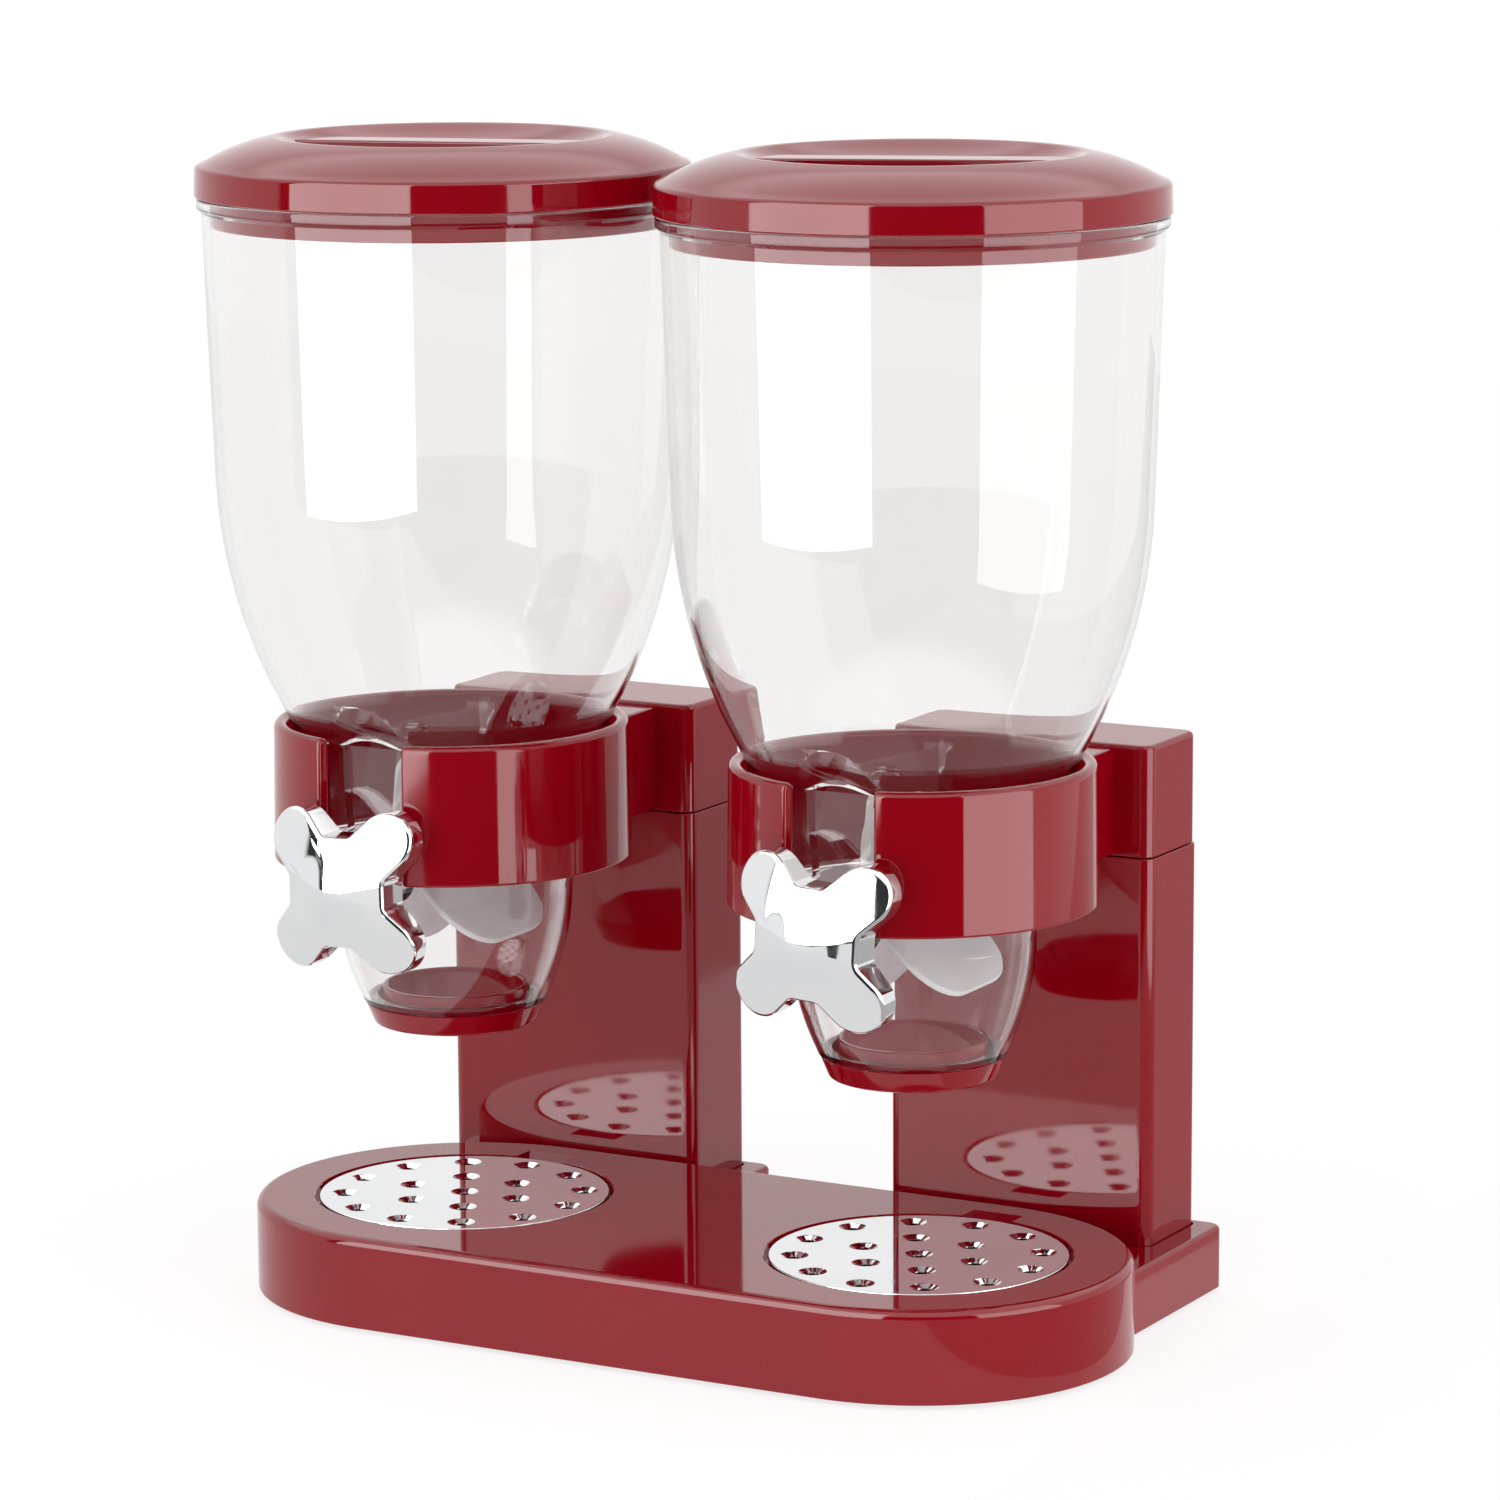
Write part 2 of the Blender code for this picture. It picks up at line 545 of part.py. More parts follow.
def canister(side, x, parts, tools):
    centre = (x, CANISTER_Y)
    outline = [(RIM_R, RIM_Z), (RIM_R, FLANGE_Z1), (FLANGE_R, FLANGE_Z1), (FLANGE_R, FLANGE_Z0)]
    outline += canister_side(0.0)
    outline += [(SPIGOT_R, OUTLET_Z - CLEAR), (SPIGOT_R, SPIGOT_Z0), (SPIGOT_BORE_R, SPIGOT_Z0)]
    outline += [(SPIGOT_BORE_R, OUTLET_Z), (SPIGOT_BORE_R + WALL / 2, OUTLET_Z + WALL)]
    outline += canister_side(WALL)[-2::-1]
    outline.append((RIM_R - WALL, RIM_Z))
    body = turned(f"canister_{side}", outline, centre, parts, CLEAR_SAN, closed=True)
    core = canister_side(WALL / 2)
    core = [(0.0, core[0][1])] + core + [(0.0, core[-1][1])]
    window_limit = turned(f"window_limit_{side}", core, centre, tools)
    pane = facet_line(PANE_GAP) + facet_line(WALL)[::-1]
    window = prism(f"window_{side}", pane, -FACET_HALF_W, FACET_HALF_W, tools, along="X", x=x)
    combine(window, window_limit, 'INTERSECT')
    front = facet_line(0.0)
    outside = front[-1][0] - OVER
    slice_outline = front + [(outside, front[-1][1]), (outside, front[0][1])]
    facet = prism(f"facet_{side}", slice_outline, -FACET_HALF_W, FACET_HALF_W, tools, along="X",
                  x=x)
    cut(body, facet)
    join(body, window)
    axle = (0.0, AXLE_Z)
    front_boss = rod(f"front_boss_{side}", x, BOSS_R, BOSS_FRONT_Y, CANISTER_Y - BOSS_INNER,
                     tools, along="Y", at=axle)
    rear_boss = rod(f"rear_boss_{side}", x, BOSS_R, CANISTER_Y + BOSS_INNER, BOSS_REAR_Y, tools,
                    along="Y", at=axle)
    join(body, front_boss, rear_boss)
    bush_bore = rod(f"bush_bore_{side}", x, BUSH_R + CLEAR, BOSS_FRONT_Y - OVER,
                    CANISTER_Y - BOSS_BORE_Y, tools, along="Y", at=axle)
    rear_bore = rod(f"rear_bore_{side}", x, SHAFT_R + CLEAR, CANISTER_Y + BOSS_BORE_Y,
                    SHAFT_REAR_Y + HUB_LAP / 2, tools, along="Y", at=axle)
    cut(body, bush_bore, rear_bore)


def outlet_ring(side, x, parts):
    outline = [(RING_R_TOP, RING_Z1), (RING_R_LOW, RING_Z0), (SLEEVE_BORE_R, RING_Z0),
               (SLEEVE_BORE_R - SLEEVE_DRAFT, SLEEVE_Z1), (SLEEVE_R - SLEEVE_EDGE, SLEEVE_Z1),
               (SLEEVE_R, SPIGOT_Z0 - CLEAR), (SPIGOT_R + CLEAR, SPIGOT_Z0 - CLEAR),
               (SPIGOT_R + CLEAR, RING_Z1)]
    turned(f"outlet_ring_{side}", outline, (x, CANISTER_Y), parts, RED, closed=True)


def lid(side, x, parts, tools):
    scoop = [(LID_RIM_R * i / SCOOP_STEPS,
              SCOOP_Z + (LID_RIM_Z - SCOOP_Z) * (i / SCOOP_STEPS) ** SCOOP_POWER)
             for i in range(SCOOP_STEPS + 1)]
    outline = list(scoop)
    for i in range(1, 5):
        t = i / 5
        outline.append((LID_RIM_R + (LID_SHOULDER_R - LID_RIM_R) * t,
                        LID_RIM_Z + (LID_EDGE_Z - LID_RIM_Z) * t + LID_SWELL * 4 * t * (1 - t)))
    outline += [(LID_SHOULDER_R, LID_EDGE_Z), (LID_SHOULDER_R + LID_EDGE, LID_EDGE_Z - LID_EDGE),
                (LID_R, LID_Z0), (SKIRT_BORE_R, LID_Z0), (SKIRT_BORE_R, LID_SLOT_Z),
                (PLUG_R, LID_SLOT_Z), (PLUG_R - PLUG_DRAFT, PLUG_Z0), (PLUG_BORE_R, PLUG_Z0),
                (PLUG_BORE_R, LID_SLOT_Z)]
    outline += [(radius, z - LID_WALL) for radius, z in reversed(scoop)]
    body = turned(f"lid_{side}", outline, (x, CANISTER_Y), parts, RED)
    bm = bmesh.new()
    bmesh.ops.create_cube(bm, size=1.0)
    bmesh.ops.scale(bm, vec=(2 * (LID_RIM_R - BAR_END_GAP), 2 * BAR_HALF_W,
                             BAR_Z1 - SCOOP_Z + BAR_ROOT), verts=bm.verts)
    bar = place(f"lid_bar_{side}", to_mesh("bar", bm), tools)
    bar.location = (x, CANISTER_Y, (BAR_Z1 + SCOOP_Z - BAR_ROOT) / 2)
    bar.rotation_euler = (0.0, 0.0, LID_TURN[side])
    join(body, bar)
    seal = [(SKIRT_BORE_R - CLEAR, LID_SLOT_Z - CLEAR), (SKIRT_BORE_R - CLEAR, RIM_Z + CLEAR),
            (PLUG_R + CLEAR, RIM_Z + CLEAR), (PLUG_R + CLEAR, LID_SLOT_Z - CLEAR)]
    turned(f"lid_seal_{side}", seal, (x, CANISTER_Y), parts, SILICONE, closed=True)


# ---- metering wheel and knob --------------------------------------------------------------
def vane_outline():
    """Front half of a paddle, (reach, width): round corners at the tip."""
    reach = VANE_R - VANE_CORNER_R
    wide = VANE_HALF_W - VANE_CORNER_R
    outline = [(0.0, -VANE_HALF_W)]
    outline += arc(reach, -wide, VANE_CORNER_R, -90, 0, 5)
    outline += arc(reach, wide, VANE_CORNER_R, 0, 90, 5)
    outline.append((0.0, VANE_HALF_W))
    return outline


def metering_wheel(side, x, parts, tools):
    hub_y0 = CANISTER_Y - VANE_HALF_W
    hub_y1 = CANISTER_Y + VANE_HALF_W
    wheel = rod(f"metering_wheel_{side}", x, HUB_R, hub_y0 - HUB_LAP, hub_y1 + HUB_LAP, parts,
                SILICONE, along="Y", at=(0.0, AXLE_Z))
    for i in range(VANES):
        angle = VANE_PHASE + 2 * math.pi * i / VANES
        bm = bmesh.new()
        base = bm.faces.new([bm.verts.new((-VANE_T / 2, w, r)) for r, w in vane_outline()])
        made = bmesh.ops.extrude_face_region(bm, geom=[base])
        top = [g for g in made["geom"] if isinstance(g, bmesh.types.BMVert)]
        bmesh.ops.translate(bm, vec=(VANE_T, 0.0, 0.0), verts=top)
        vane = place(f"vane_{side}_{i}", to_mesh("vane", bm), tools)
        vane.location = (x, CANISTER_Y, AXLE_Z)
        vane.rotation_euler = (0.0, angle, 0.0)
        join(wheel, vane)
    bore = rod(f"wheel_bore_{side}", x, SHAFT_R + CLEAR, hub_y0 - OVER, hub_y1 + OVER, tools,
               along="Y", at=(0.0, AXLE_Z))
    cut(wheel, bore)
    rod(f"wheel_shaft_{side}", x, SHAFT_R, SHAFT_FRONT_Y, SHAFT_REAR_Y, parts, STEEL,
        along="Y", at=(0.0, AXLE_Z))
    bush = rod(f"shaft_bush_{side}", x, BUSH_R, BOSS_FRONT_Y + CLEAR, BOSS_FRONT_Y + BUSH_LENGTH,
               parts, ACETAL, along="Y", at=(0.0, AXLE_Z))
    bush_bore = rod(f"bush_shaft_bore_{side}", x, SHAFT_R + CLEAR, BOSS_FRONT_Y - OVER,
                    BOSS_FRONT_Y + 2 * OVER, tools, along="Y", at=(0.0, AXLE_Z))
    cut(bush, bush_bore)


def knob_outline(steps):
    """Lobed outline (x, z) about the axle: lobe, fillet, flat, fillet, four times over."""
    lobe = LOBE_REACH * math.sqrt(0.5)
    rise = WAIST_R + WAIST_FILLET_R
    away = math.atan2(lobe - rise, lobe - WAIST_HALF_W)
    apart = math.hypot(lobe - WAIST_HALF_W, lobe - rise)
    slope = math.degrees(away + math.asin((LOBE_R + WAIST_FILLET_R) / apart))
    quarter = arc(lobe, lobe, LOBE_R, -slope, 90 + slope, 2 * steps)
    quarter += arc(WAIST_HALF_W, rise, WAIST_FILLET_R, slope - 90, -90, steps // 2)
    quarter += arc(-WAIST_HALF_W, rise, WAIST_FILLET_R, -90, -90 - slope, steps // 2)
    points = []
    for i in range(KNOB_LOBES):
        c, s = math.cos(2 * math.pi * i / KNOB_LOBES), math.sin(2 * math.pi * i / KNOB_LOBES)
        points += [(a * c - b * s, a * s + b * c) for a, b in quarter]
    return points


def knob_front(radius):
    """y of the knob's front at this distance from the axle: convex, a soft dome in the middle."""
    crown = KNOB_CROWN_R - math.sqrt(KNOB_CROWN_R ** 2 - radius ** 2)
    dome = DOME_RISE * max(0.0, 1.0 - (radius / DOME_R) ** 2) ** 2
    return KNOB_Y0 + crown - dome


def knob(side, x, parts, tools):
    """Rings of the outline, from the flat back over the rounded edge to the middle of the front."""
    outline = knob_outline(6)
    bm = bmesh.new()
    soft = 1.0 - KNOB_EDGE_R / (LOBE_REACH + LOBE_R)
    rings = [(1.0, KNOB_BACK_Y, 0.0), (1.0, None, KNOB_EDGE_R), (soft, None, 0.0)]
    rings += [(scale, None, 0.0) for scale in KNOB_RINGS]
    loops = []
    for scale, level, drop in rings:
        loop = []
        for a, b in outline:
            y = knob_front(scale * math.hypot(a, b)) + drop if level is None else level
            loop.append(bm.verts.new((scale * a, y, scale * b)))
        loops.append(loop)
    for low, high in zip(loops, loops[1:]):
        for k in range(len(outline)):
            bm.faces.new((low[k - 1], low[k], high[k], high[k - 1]))
    bm.faces.new(loops[0])
    middle = bm.verts.new((0.0, knob_front(0.0), 0.0))
    for k in range(len(outline)):
        bm.faces.new((loops[-1][k - 1], loops[-1][k], middle))
    body = place(f"knob_{side}", to_mesh("knob", bm), parts, CHROME)
    body.location = (x, 0.0, AXLE_Z)
    body.rotation_euler = (0.0, -KNOB_TURN[side], 0.0)
    bore = rod(f"knob_bore_{side}", x, SHAFT_R + CLEAR, SHAFT_FRONT_Y - CLEAR, BOSS_FRONT_Y + OVER,
               tools, along="Y", at=(0.0, AXLE_Z))
    cut(body, bore)


# ---- screws -------------------------------------------------------------------------------
def screw(name, x, head_z, parts, tools):
    """Upright screw whose head hangs under head_z."""
    body = rod(name, x, SCREW_HEAD_R, head_z - SCREW_HEAD_H, head_z - CLEAR, parts, STEEL,
               at=(COLUMN_MID_Y, 0.0), steps=TINY)
    shank = rod(f"{name}_shank", x, SCREW_R, head_z - SCREW_HEAD_H / 2, head_z + SCREW_LENGTH,
                tools, at=(COLUMN_MID_Y, 0.0), steps=TINY)
    join(body, shank)


def screws(side, x, parts, tools):
    for number, end in enumerate((-1, 1), start=1):
        screw(f"column_screw_{side}_{number}", x + end * COLUMN_SCREW_X, SOCKET_FLOOR_Z0, parts,
              tools)
        screw(f"bracket_screw_{side}_{number}", x + end * HEAD_SCREW_X,
              COLUMN_Z1 - CLEAR - COLUMN_PLATE_T, parts, tools)


def main():
    clear_scene()
    parts = collection("cereal_dispenser")
    tools = collection("cutters")
    base_deck(parts, tools)
    base_plate(parts, tools)
    for side, sign in SIDES.items():
        x = sign * UNIT_SPACING / 2
        drip_grille(side, x, parts, tools)
        column(side, x, parts, tools)
        collar_bracket(side, x, parts, tools)
        canister(side, x, parts, tools)
        outlet_ring(side, x, parts)
        lid(side, x, parts, tools)
        metering_wheel(side, x, parts, tools)
        knob(side, x, parts, tools)
        screws(side, x, parts, tools)


main()
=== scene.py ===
"""Looks for the twin dry-food dispenser: red gloss ABS, clear SAN, chrome plate, soft silicone."""
import math

import bmesh
import bpy
from mathutils import Matrix, Vector

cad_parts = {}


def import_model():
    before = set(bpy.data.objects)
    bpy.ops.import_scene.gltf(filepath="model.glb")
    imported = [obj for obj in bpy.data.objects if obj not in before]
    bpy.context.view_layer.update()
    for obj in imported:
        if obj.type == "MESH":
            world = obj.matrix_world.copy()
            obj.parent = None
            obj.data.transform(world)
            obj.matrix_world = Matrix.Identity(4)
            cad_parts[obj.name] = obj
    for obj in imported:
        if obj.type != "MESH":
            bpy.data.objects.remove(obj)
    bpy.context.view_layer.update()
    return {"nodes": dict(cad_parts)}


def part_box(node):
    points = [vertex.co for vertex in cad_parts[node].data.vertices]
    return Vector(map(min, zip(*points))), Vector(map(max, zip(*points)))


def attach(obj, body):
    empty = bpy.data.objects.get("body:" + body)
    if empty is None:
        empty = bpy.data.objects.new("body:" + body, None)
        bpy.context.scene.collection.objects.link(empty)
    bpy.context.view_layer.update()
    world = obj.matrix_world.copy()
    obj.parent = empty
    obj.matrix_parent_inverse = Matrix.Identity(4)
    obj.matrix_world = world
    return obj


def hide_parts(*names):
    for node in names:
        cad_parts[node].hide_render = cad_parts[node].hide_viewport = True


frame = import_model()
NODES = frame["nodes"]
SIDES = ("left", "right")
MM = 0.001


# ---- sizes --------------------------------------------------------------------------------
def middle(node):
    lo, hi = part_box(node)
    return (lo + hi) / 2


def high(node):
    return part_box(node)[1]


def low(node):
    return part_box(node)[0]


AXIS_X = {side: middle(f"drip_grille_{side}").x for side in SIDES}
CANISTER_Y = middle("outlet_ring_left").y
GRILLE_Y = middle("drip_grille_left").y
AXLE_Z = middle("wheel_shaft_left").z
DECK_Z = high("base_deck").z
BASE_Z0 = low("base_deck").z
ROUND = 128                  # facets round a large turned piece
FINE = 64                    # facets round a small one

SKIN = 2.5 * MM              # wall of the red mouldings
FOOT_EDGE_R = 0.6 * MM       # edge that the deck and blocks stand on
OVER = 1.0 * MM              # how far a cutter or core passes a surface

DECK_R = 68.6 * MM           # round ends of the deck
DECK_EDGE_R = 3.0 * MM
BLOCK_Z = 22.5 * MM          # top of a socket block
BLOCK_HALF_W = 56.5 * MM
BLOCK_CORNER_R = 5.0 * MM
BLOCK_EDGE_R = 1.5 * MM
BLOCK_HOLLOW_Y0 = 10.0 * MM
BLOCK_HOLLOW_R = 3.0 * MM
SOCKET_Z = 16.5 * MM         # floor of the socket that takes a column
SOCKET_GAP = 0.6 * MM
RECESS_R = 49.2 * MM         # seat of the grille
RECESS_DEPTH = 2.6 * MM
RECESS_LIP = 0.35 * MM
WELL_R = 45.5 * MM
WELL_Z = 17.5 * MM
WELL_CORNER = 2.0 * MM
NOTCH_HALF_W = 9.0 * MM      # finger notch behind the grille
NOTCH_DEPTH = 7.5 * MM
NOTCH_FRONT = 44.0 * MM      # all three from the middle of the grille
NOTCH_FLOOR = 48.5 * MM
NOTCH_BACK = 59.0 * MM
ROOF_GAP = 0.3 * MM          # over the base plate

GRILLE_R = 47.9 * MM
GRILLE_EDGE_R = 0.4 * MM
HOLE_R = 2.5 * MM
SINK_R = 4.5 * MM            # mouth of a hole's countersink
SINK_DEPTH = 1.2 * MM
SINK_EDGE = 0.35 * MM
HOLE_RING_R = 39.5 * MM

COLUMN_CORNER_R = 4.5 * MM
COLUMN_EDGE_R = 0.3 * MM
COLUMN_ROOF = 3.0 * MM
SEAM = 0.3 * MM              # shadow line between column and head
HEAD_INSET = 0.5 * MM
HEAD_TOP = 187.3 * MM
HEAD_EDGE_R = 1.6 * MM
NECK_Z0 = 151.5 * MM
NECK_Z1 = 186.0 * MM
NECK_HALF_W = 34.0 * MM
NECK_EDGE = 1.2 * MM         # rounded in two flats
NECK_REACH = 40.0 * MM       # start of the neck, from the canister's middle
NECK_LAP = 4.0 * MM
COLLAR_R_TOP = 57.8 * MM
COLLAR_R_LOW = 58.3 * MM
COLLAR_WALL = 4.5 * MM
COLLAR_EDGE_R = 0.8 * MM
COLLAR_INNER_EDGE_R = 0.5 * MM
GAP_HALF_W = 15.4 * MM
GAP_EDGE_R = 1.2 * MM

WALL = 2.2 * MM
RIM_R = 77.5 * MM
FLANGE_R = 79.3 * MM
FLANGE_Z0 = 358.0 * MM
FLANGE_Z1 = 361.9 * MM
BODY_R = 77.8 * MM
TAPER_R = 74.9 * MM
TAPER_Z = 271.5 * MM
BULGE_R = 169.8 * MM
BULGE_DROP = 74.0 * MM
NECK_R = 51.6 * MM
FLANGE_EDGE_R = 0.8 * MM
NECK_TOP_Z = 189.0 * MM
NECK_DRAFT = 0.6 * MM
SHOULDER_Z = 147.5 * MM
SHOULDER_R = 2.5 * MM
BOWL_BLEND_R = 5.0 * MM
BOWL_R = 39.0 * MM
BOWL_Z = 137.5 * MM
BOWL_ARC_R = 89.3 * MM
OUTLET_Z = 98.5 * MM
SPIGOT_R = 27.4 * MM
SPIGOT_BORE_R = 24.6 * MM
SPIGOT_CHAMFER = 1.0 * MM
FACET_Y = -65.5 * MM         # flat pane behind the gap of the collar
FACET_RISE = 15.0 * MM       # its sloping top
FACET_SLOPE_Y = 10.0 * MM
FACET_HALF_W = 50.0 * MM
PANE_INSET = 0.5 * MM
BOSS_R = 9.5 * MM
BOSS_INNER = 37.8 * MM
BOSS_FRONT_Y = -75.0 * MM
BOSS_REAR_Y = 33.5 * MM
BUSH_R = 5.8 * MM
SHAFT_R = 4.3 * MM

RING_R = 29.3 * MM           # outlet ring, a little wider above than below
RING_LOW_R = 26.4 * MM
RING_Z1 = 97.8 * MM
RING_SLOT_R = 27.7 * MM
RING_SLOT_Z = 95.1 * MM
SLEEVE_R = 24.2 * MM
SLEEVE_BORE_R = 22.2 * MM

LID_R = 80.0 * MM
SKIRT_Z = 362.2 * MM
LID_EDGE_Z = 372.2 * MM
LID_RIM_R = 54.0 * MM
SCOOP_Z = 372.2 * MM
BAR_HALF_W = 7.5 * MM
BAR_Z1 = 379.1 * MM
BAR_HALF_L = 50.5 * MM
BAR_CORNER_R = 2.0 * MM
BAR_EDGE_R = 0.7 * MM
BAR_ROOT = 1.0 * MM
SCOOP_POWER = 3              # flat in the middle, steep at the rim
CREST_R = 8.0 * MM           # rounding between the scoop and the sloping top
CREST_START, CREST_END = 107.7, 74.0         # its arc, degrees
LID_DRAFT = 0.25 * MM
LID_CORNER_R = 1.8 * MM
LID_SWELL = 1.1 * MM
LID_SLOT_Z = 369.8 * MM
SKIRT_BORE_R = 77.9 * MM
PLUG_R = 75.0 * MM
PLUG_BORE_R = 72.8 * MM
LID_TURN = {"left": math.radians(14.5), "right": math.radians(20.0)}

VANES = 5
VANE_R = 34.0 * MM
VANE_HALF_W = 28.0 * MM
VANE_CORNER_R = 18.0 * MM
VANE_T = 2.2 * MM
VANE_EDGE_R = 0.7 * MM
VANE_PHASE = math.radians(-8.0)
HUB_R = 7.5 * MM
HUB_HALF_L = VANE_HALF_W + 2 * MM

KNOB_BACK_Y = -76.0 * MM     # flat back of the knob
KNOB_Y0 = -90.5 * MM         # middle of its convex front, without the dome
KNOB_CROWN_R = 73.0 * MM
KNOB_LOBES = 4
LOBE_R = 9.2 * MM
LOBE_REACH = 23.8 * MM
WAIST_R = 17.7 * MM
WAIST_HALF_W = 3.0 * MM
WAIST_FILLET_R = 4.0 * MM
KNOB_EDGE_R = 1.3 * MM
KNOB_TURN = {"left": math.radians(1.0), "right": math.radians(-3.5)}
DOME_R = 15.0 * MM
DOME_RISE = 1.6 * MM
KNOB_RINGS = 50              # steps from the edge to the middle of the front
KNOB_BACK_EDGE = 0.4 * MM
POCKET_HALF_W = 7.0 * MM     # hollow at the back of each lobe
POCKET_Z0, POCKET_Z1 = 11.5 * MM, 29.5 * MM
POCKET_R = 5.0 * MM
POCKET_DEPTH = 4.5 * MM


# ---- materials ----------------------------------------------------------------------------
def linear(colour):
    """sRGB hex, such as 'a0b0c0', to a linear RGBA."""
    parts = [int(colour[i:i + 2], 16) / 255 for i in (0, 2, 4)]
    return tuple(c / 12.92 if c <= 0.04045 else ((c + 0.055) / 1.055) ** 2.4
                 for c in parts) + (1.0,)


def add(tree, kind, inputs=None, **settings):
    """One node with its settings; an input is a value or the socket that feeds it."""
    node = tree.nodes.new(kind)
    for name, value in settings.items():
        setattr(node, name, value)
    for name, value in (inputs or {}).items():
        if isinstance(value, bpy.types.NodeSocket):
            tree.links.new(value, node.inputs[name])
        else:
            node.inputs[name].default_value = value
    return node


def new_material(name):
    mat = bpy.data.materials.new(name)
    mat.use_nodes = True
    tree = mat.node_tree
    tree.nodes.clear()
    place = add(tree, "ShaderNodeTexCoord").outputs["Object"]
    return mat, tree, place


def ramp(tree, factor, stops):
    node = add(tree, "ShaderNodeValToRGB", {"Fac": factor})
    elements = node.color_ramp.elements
    while len(elements) < len(stops):
        elements.new(0.5)
    for element, (at, colour) in zip(elements, stops):
        element.position = at
        element.color = linear(colour)
    return node.outputs["Color"]


def spread(tree, value, low_out, high_out):
    """The middle of a noise, where nearly all of it lies, stretched over a range."""
    node = add(tree, "ShaderNodeMapRange", {"Value": value, "From Min": 0.35,
               "From Max": 0.65, "To Min": low_out, "To Max": high_out})
    return node.outputs["Result"]


def noise(tree, place, period, detail=2.0):
    """Noise whose features are about one period (metres) across."""
    node = add(tree, "ShaderNodeTexNoise", {"Vector": place, "Scale": 1.0 / period,
               "Detail": detail})
    return node.outputs["Fac"]


def bump(tree, height, distance, strength):
    return add(tree, "ShaderNodeBump", {"Height": height, "Distance": distance,
               "Strength": strength}).outputs["Normal"]


def close(tree, shader, volume=None):
    inputs = {"Surface": shader.outputs[0]}
    if volume is not None:
        inputs["Volume"] = volume.outputs[0]
    add(tree, "ShaderNodeOutputMaterial", inputs)


def red_gloss_abs():
    """ABS coloured in the mass, moulded in a polished tool: deep red, mirror gloss, faint sink."""
    mat, tree, place = new_material("red_gloss_abs")
    body = ramp(tree, noise(tree, place, 90 * MM), [(0.35, "8b0112"), (0.65, "910216")])
    peel = bump(tree, noise(tree, place, 9 * MM, 1.0), 0.02 * MM, 0.30)
    haze = spread(tree, noise(tree, place, 25 * MM, 3.0), 0.035, 0.075)
    shader = add(tree, "ShaderNodeBsdfPrincipled", {
        "Base Color": body, "Roughness": haze, "IOR": 1.53, "Normal": peel})
    close(tree, shader)
    return mat


def clear_san():
    """Clear SAN, injection moulded: water-white wall with a cold tinge where it is thick.

    Its reflections are held back so that what is inside stays in sight, and light falls
    through it as through thin plastic, without caustics.
    """
    mat, tree, place = new_material("clear_san")
    flow = bump(tree, noise(tree, place, 45 * MM, 1.0), 0.02 * MM, 0.12)
    glass = add(tree, "ShaderNodeBsdfPrincipled", {
        "Base Color": linear("f9f8f7"), "Roughness": 0.0, "IOR": 1.50,
        "Specular IOR Level": 0.08, "Transmission Weight": 1.0, "Normal": flow})
    through = add(tree, "ShaderNodeBsdfTransparent", {"Color": linear("fcfcfc")})
    path = add(tree, "ShaderNodeLightPath")
    soft = add(tree, "ShaderNodeMath", {0: path.outputs["Is Shadow Ray"],
               1: path.outputs["Is Diffuse Ray"]}, operation='MAXIMUM')
    shader = add(tree, "ShaderNodeMixShader", {"Fac": soft.outputs[0],
                 1: glass.outputs[0], 2: through.outputs[0]})
    tint = add(tree, "ShaderNodeVolumeAbsorption", {"Color": linear("c4c6dc"), "Density": 7.0})
    close(tree, shader, tint)
    return mat


def chrome_plate():
    """Bright chrome on moulded ABS: mirror finish, a little waviness from the plastic below."""
    mat, tree, place = new_material("chrome_plate")
    wave = bump(tree, noise(tree, place, 14 * MM, 1.0), 0.02 * MM, 0.12)
    haze = spread(tree, noise(tree, place, 6 * MM, 4.0), 0.02, 0.07)
    shade = ramp(tree, noise(tree, place, 40 * MM), [(0.3, "e2e3e4"), (0.7, "e9e9ea")])
    shader = add(tree, "ShaderNodeBsdfPrincipled", {
        "Base Color": shade, "Metallic": 1.0, "Roughness": haze, "Normal": wave})
    close(tree, shader)
    return mat


def white_silicone():
    """Moulded silicone rubber: milky, lets light through, soft satin skin."""
    mat, tree, place = new_material("white_silicone")
    milk = ramp(tree, noise(tree, place, 20 * MM), [(0.3, "f8f7f8"), (0.7, "fdfcfd")])
    skin = bump(tree, noise(tree, place, 0.6 * MM, 2.0), 0.01 * MM, 0.4)
    shader = add(tree, "ShaderNodeBsdfPrincipled", {
        "Base Color": milk, "Roughness": spread(tree, noise(tree, place, 8 * MM), 0.34, 0.46),
        "IOR": 1.41, "Normal": skin})
    glow = add(tree, "ShaderNodeBsdfTranslucent", {"Color": milk, "Normal": skin})
    mixed = add(tree, "ShaderNodeMixShader", {"Fac": 0.2, 1: shader.outputs[0],
                2: glow.outputs[0]})
    close(tree, mixed)
    return mat


def plain_plastic(name, dark, pale, low_gloss, high_gloss, grain, depth, ior=1.5):
    """Moulded plastic or rubber with a fine even grain."""
    mat, tree, place = new_material(name)
    shade = ramp(tree, noise(tree, place, 15 * MM), [(0.3, dark), (0.7, pale)])
    skin = bump(tree, noise(tree, place, grain, 2.0), depth, 0.5)
    rough = spread(tree, noise(tree, place, 5 * MM), low_gloss, high_gloss)
    shader = add(tree, "ShaderNodeBsdfPrincipled", {
        "Base Color": shade, "Roughness": rough, "IOR": ior, "Normal": skin})
    close(tree, shader)
    return mat


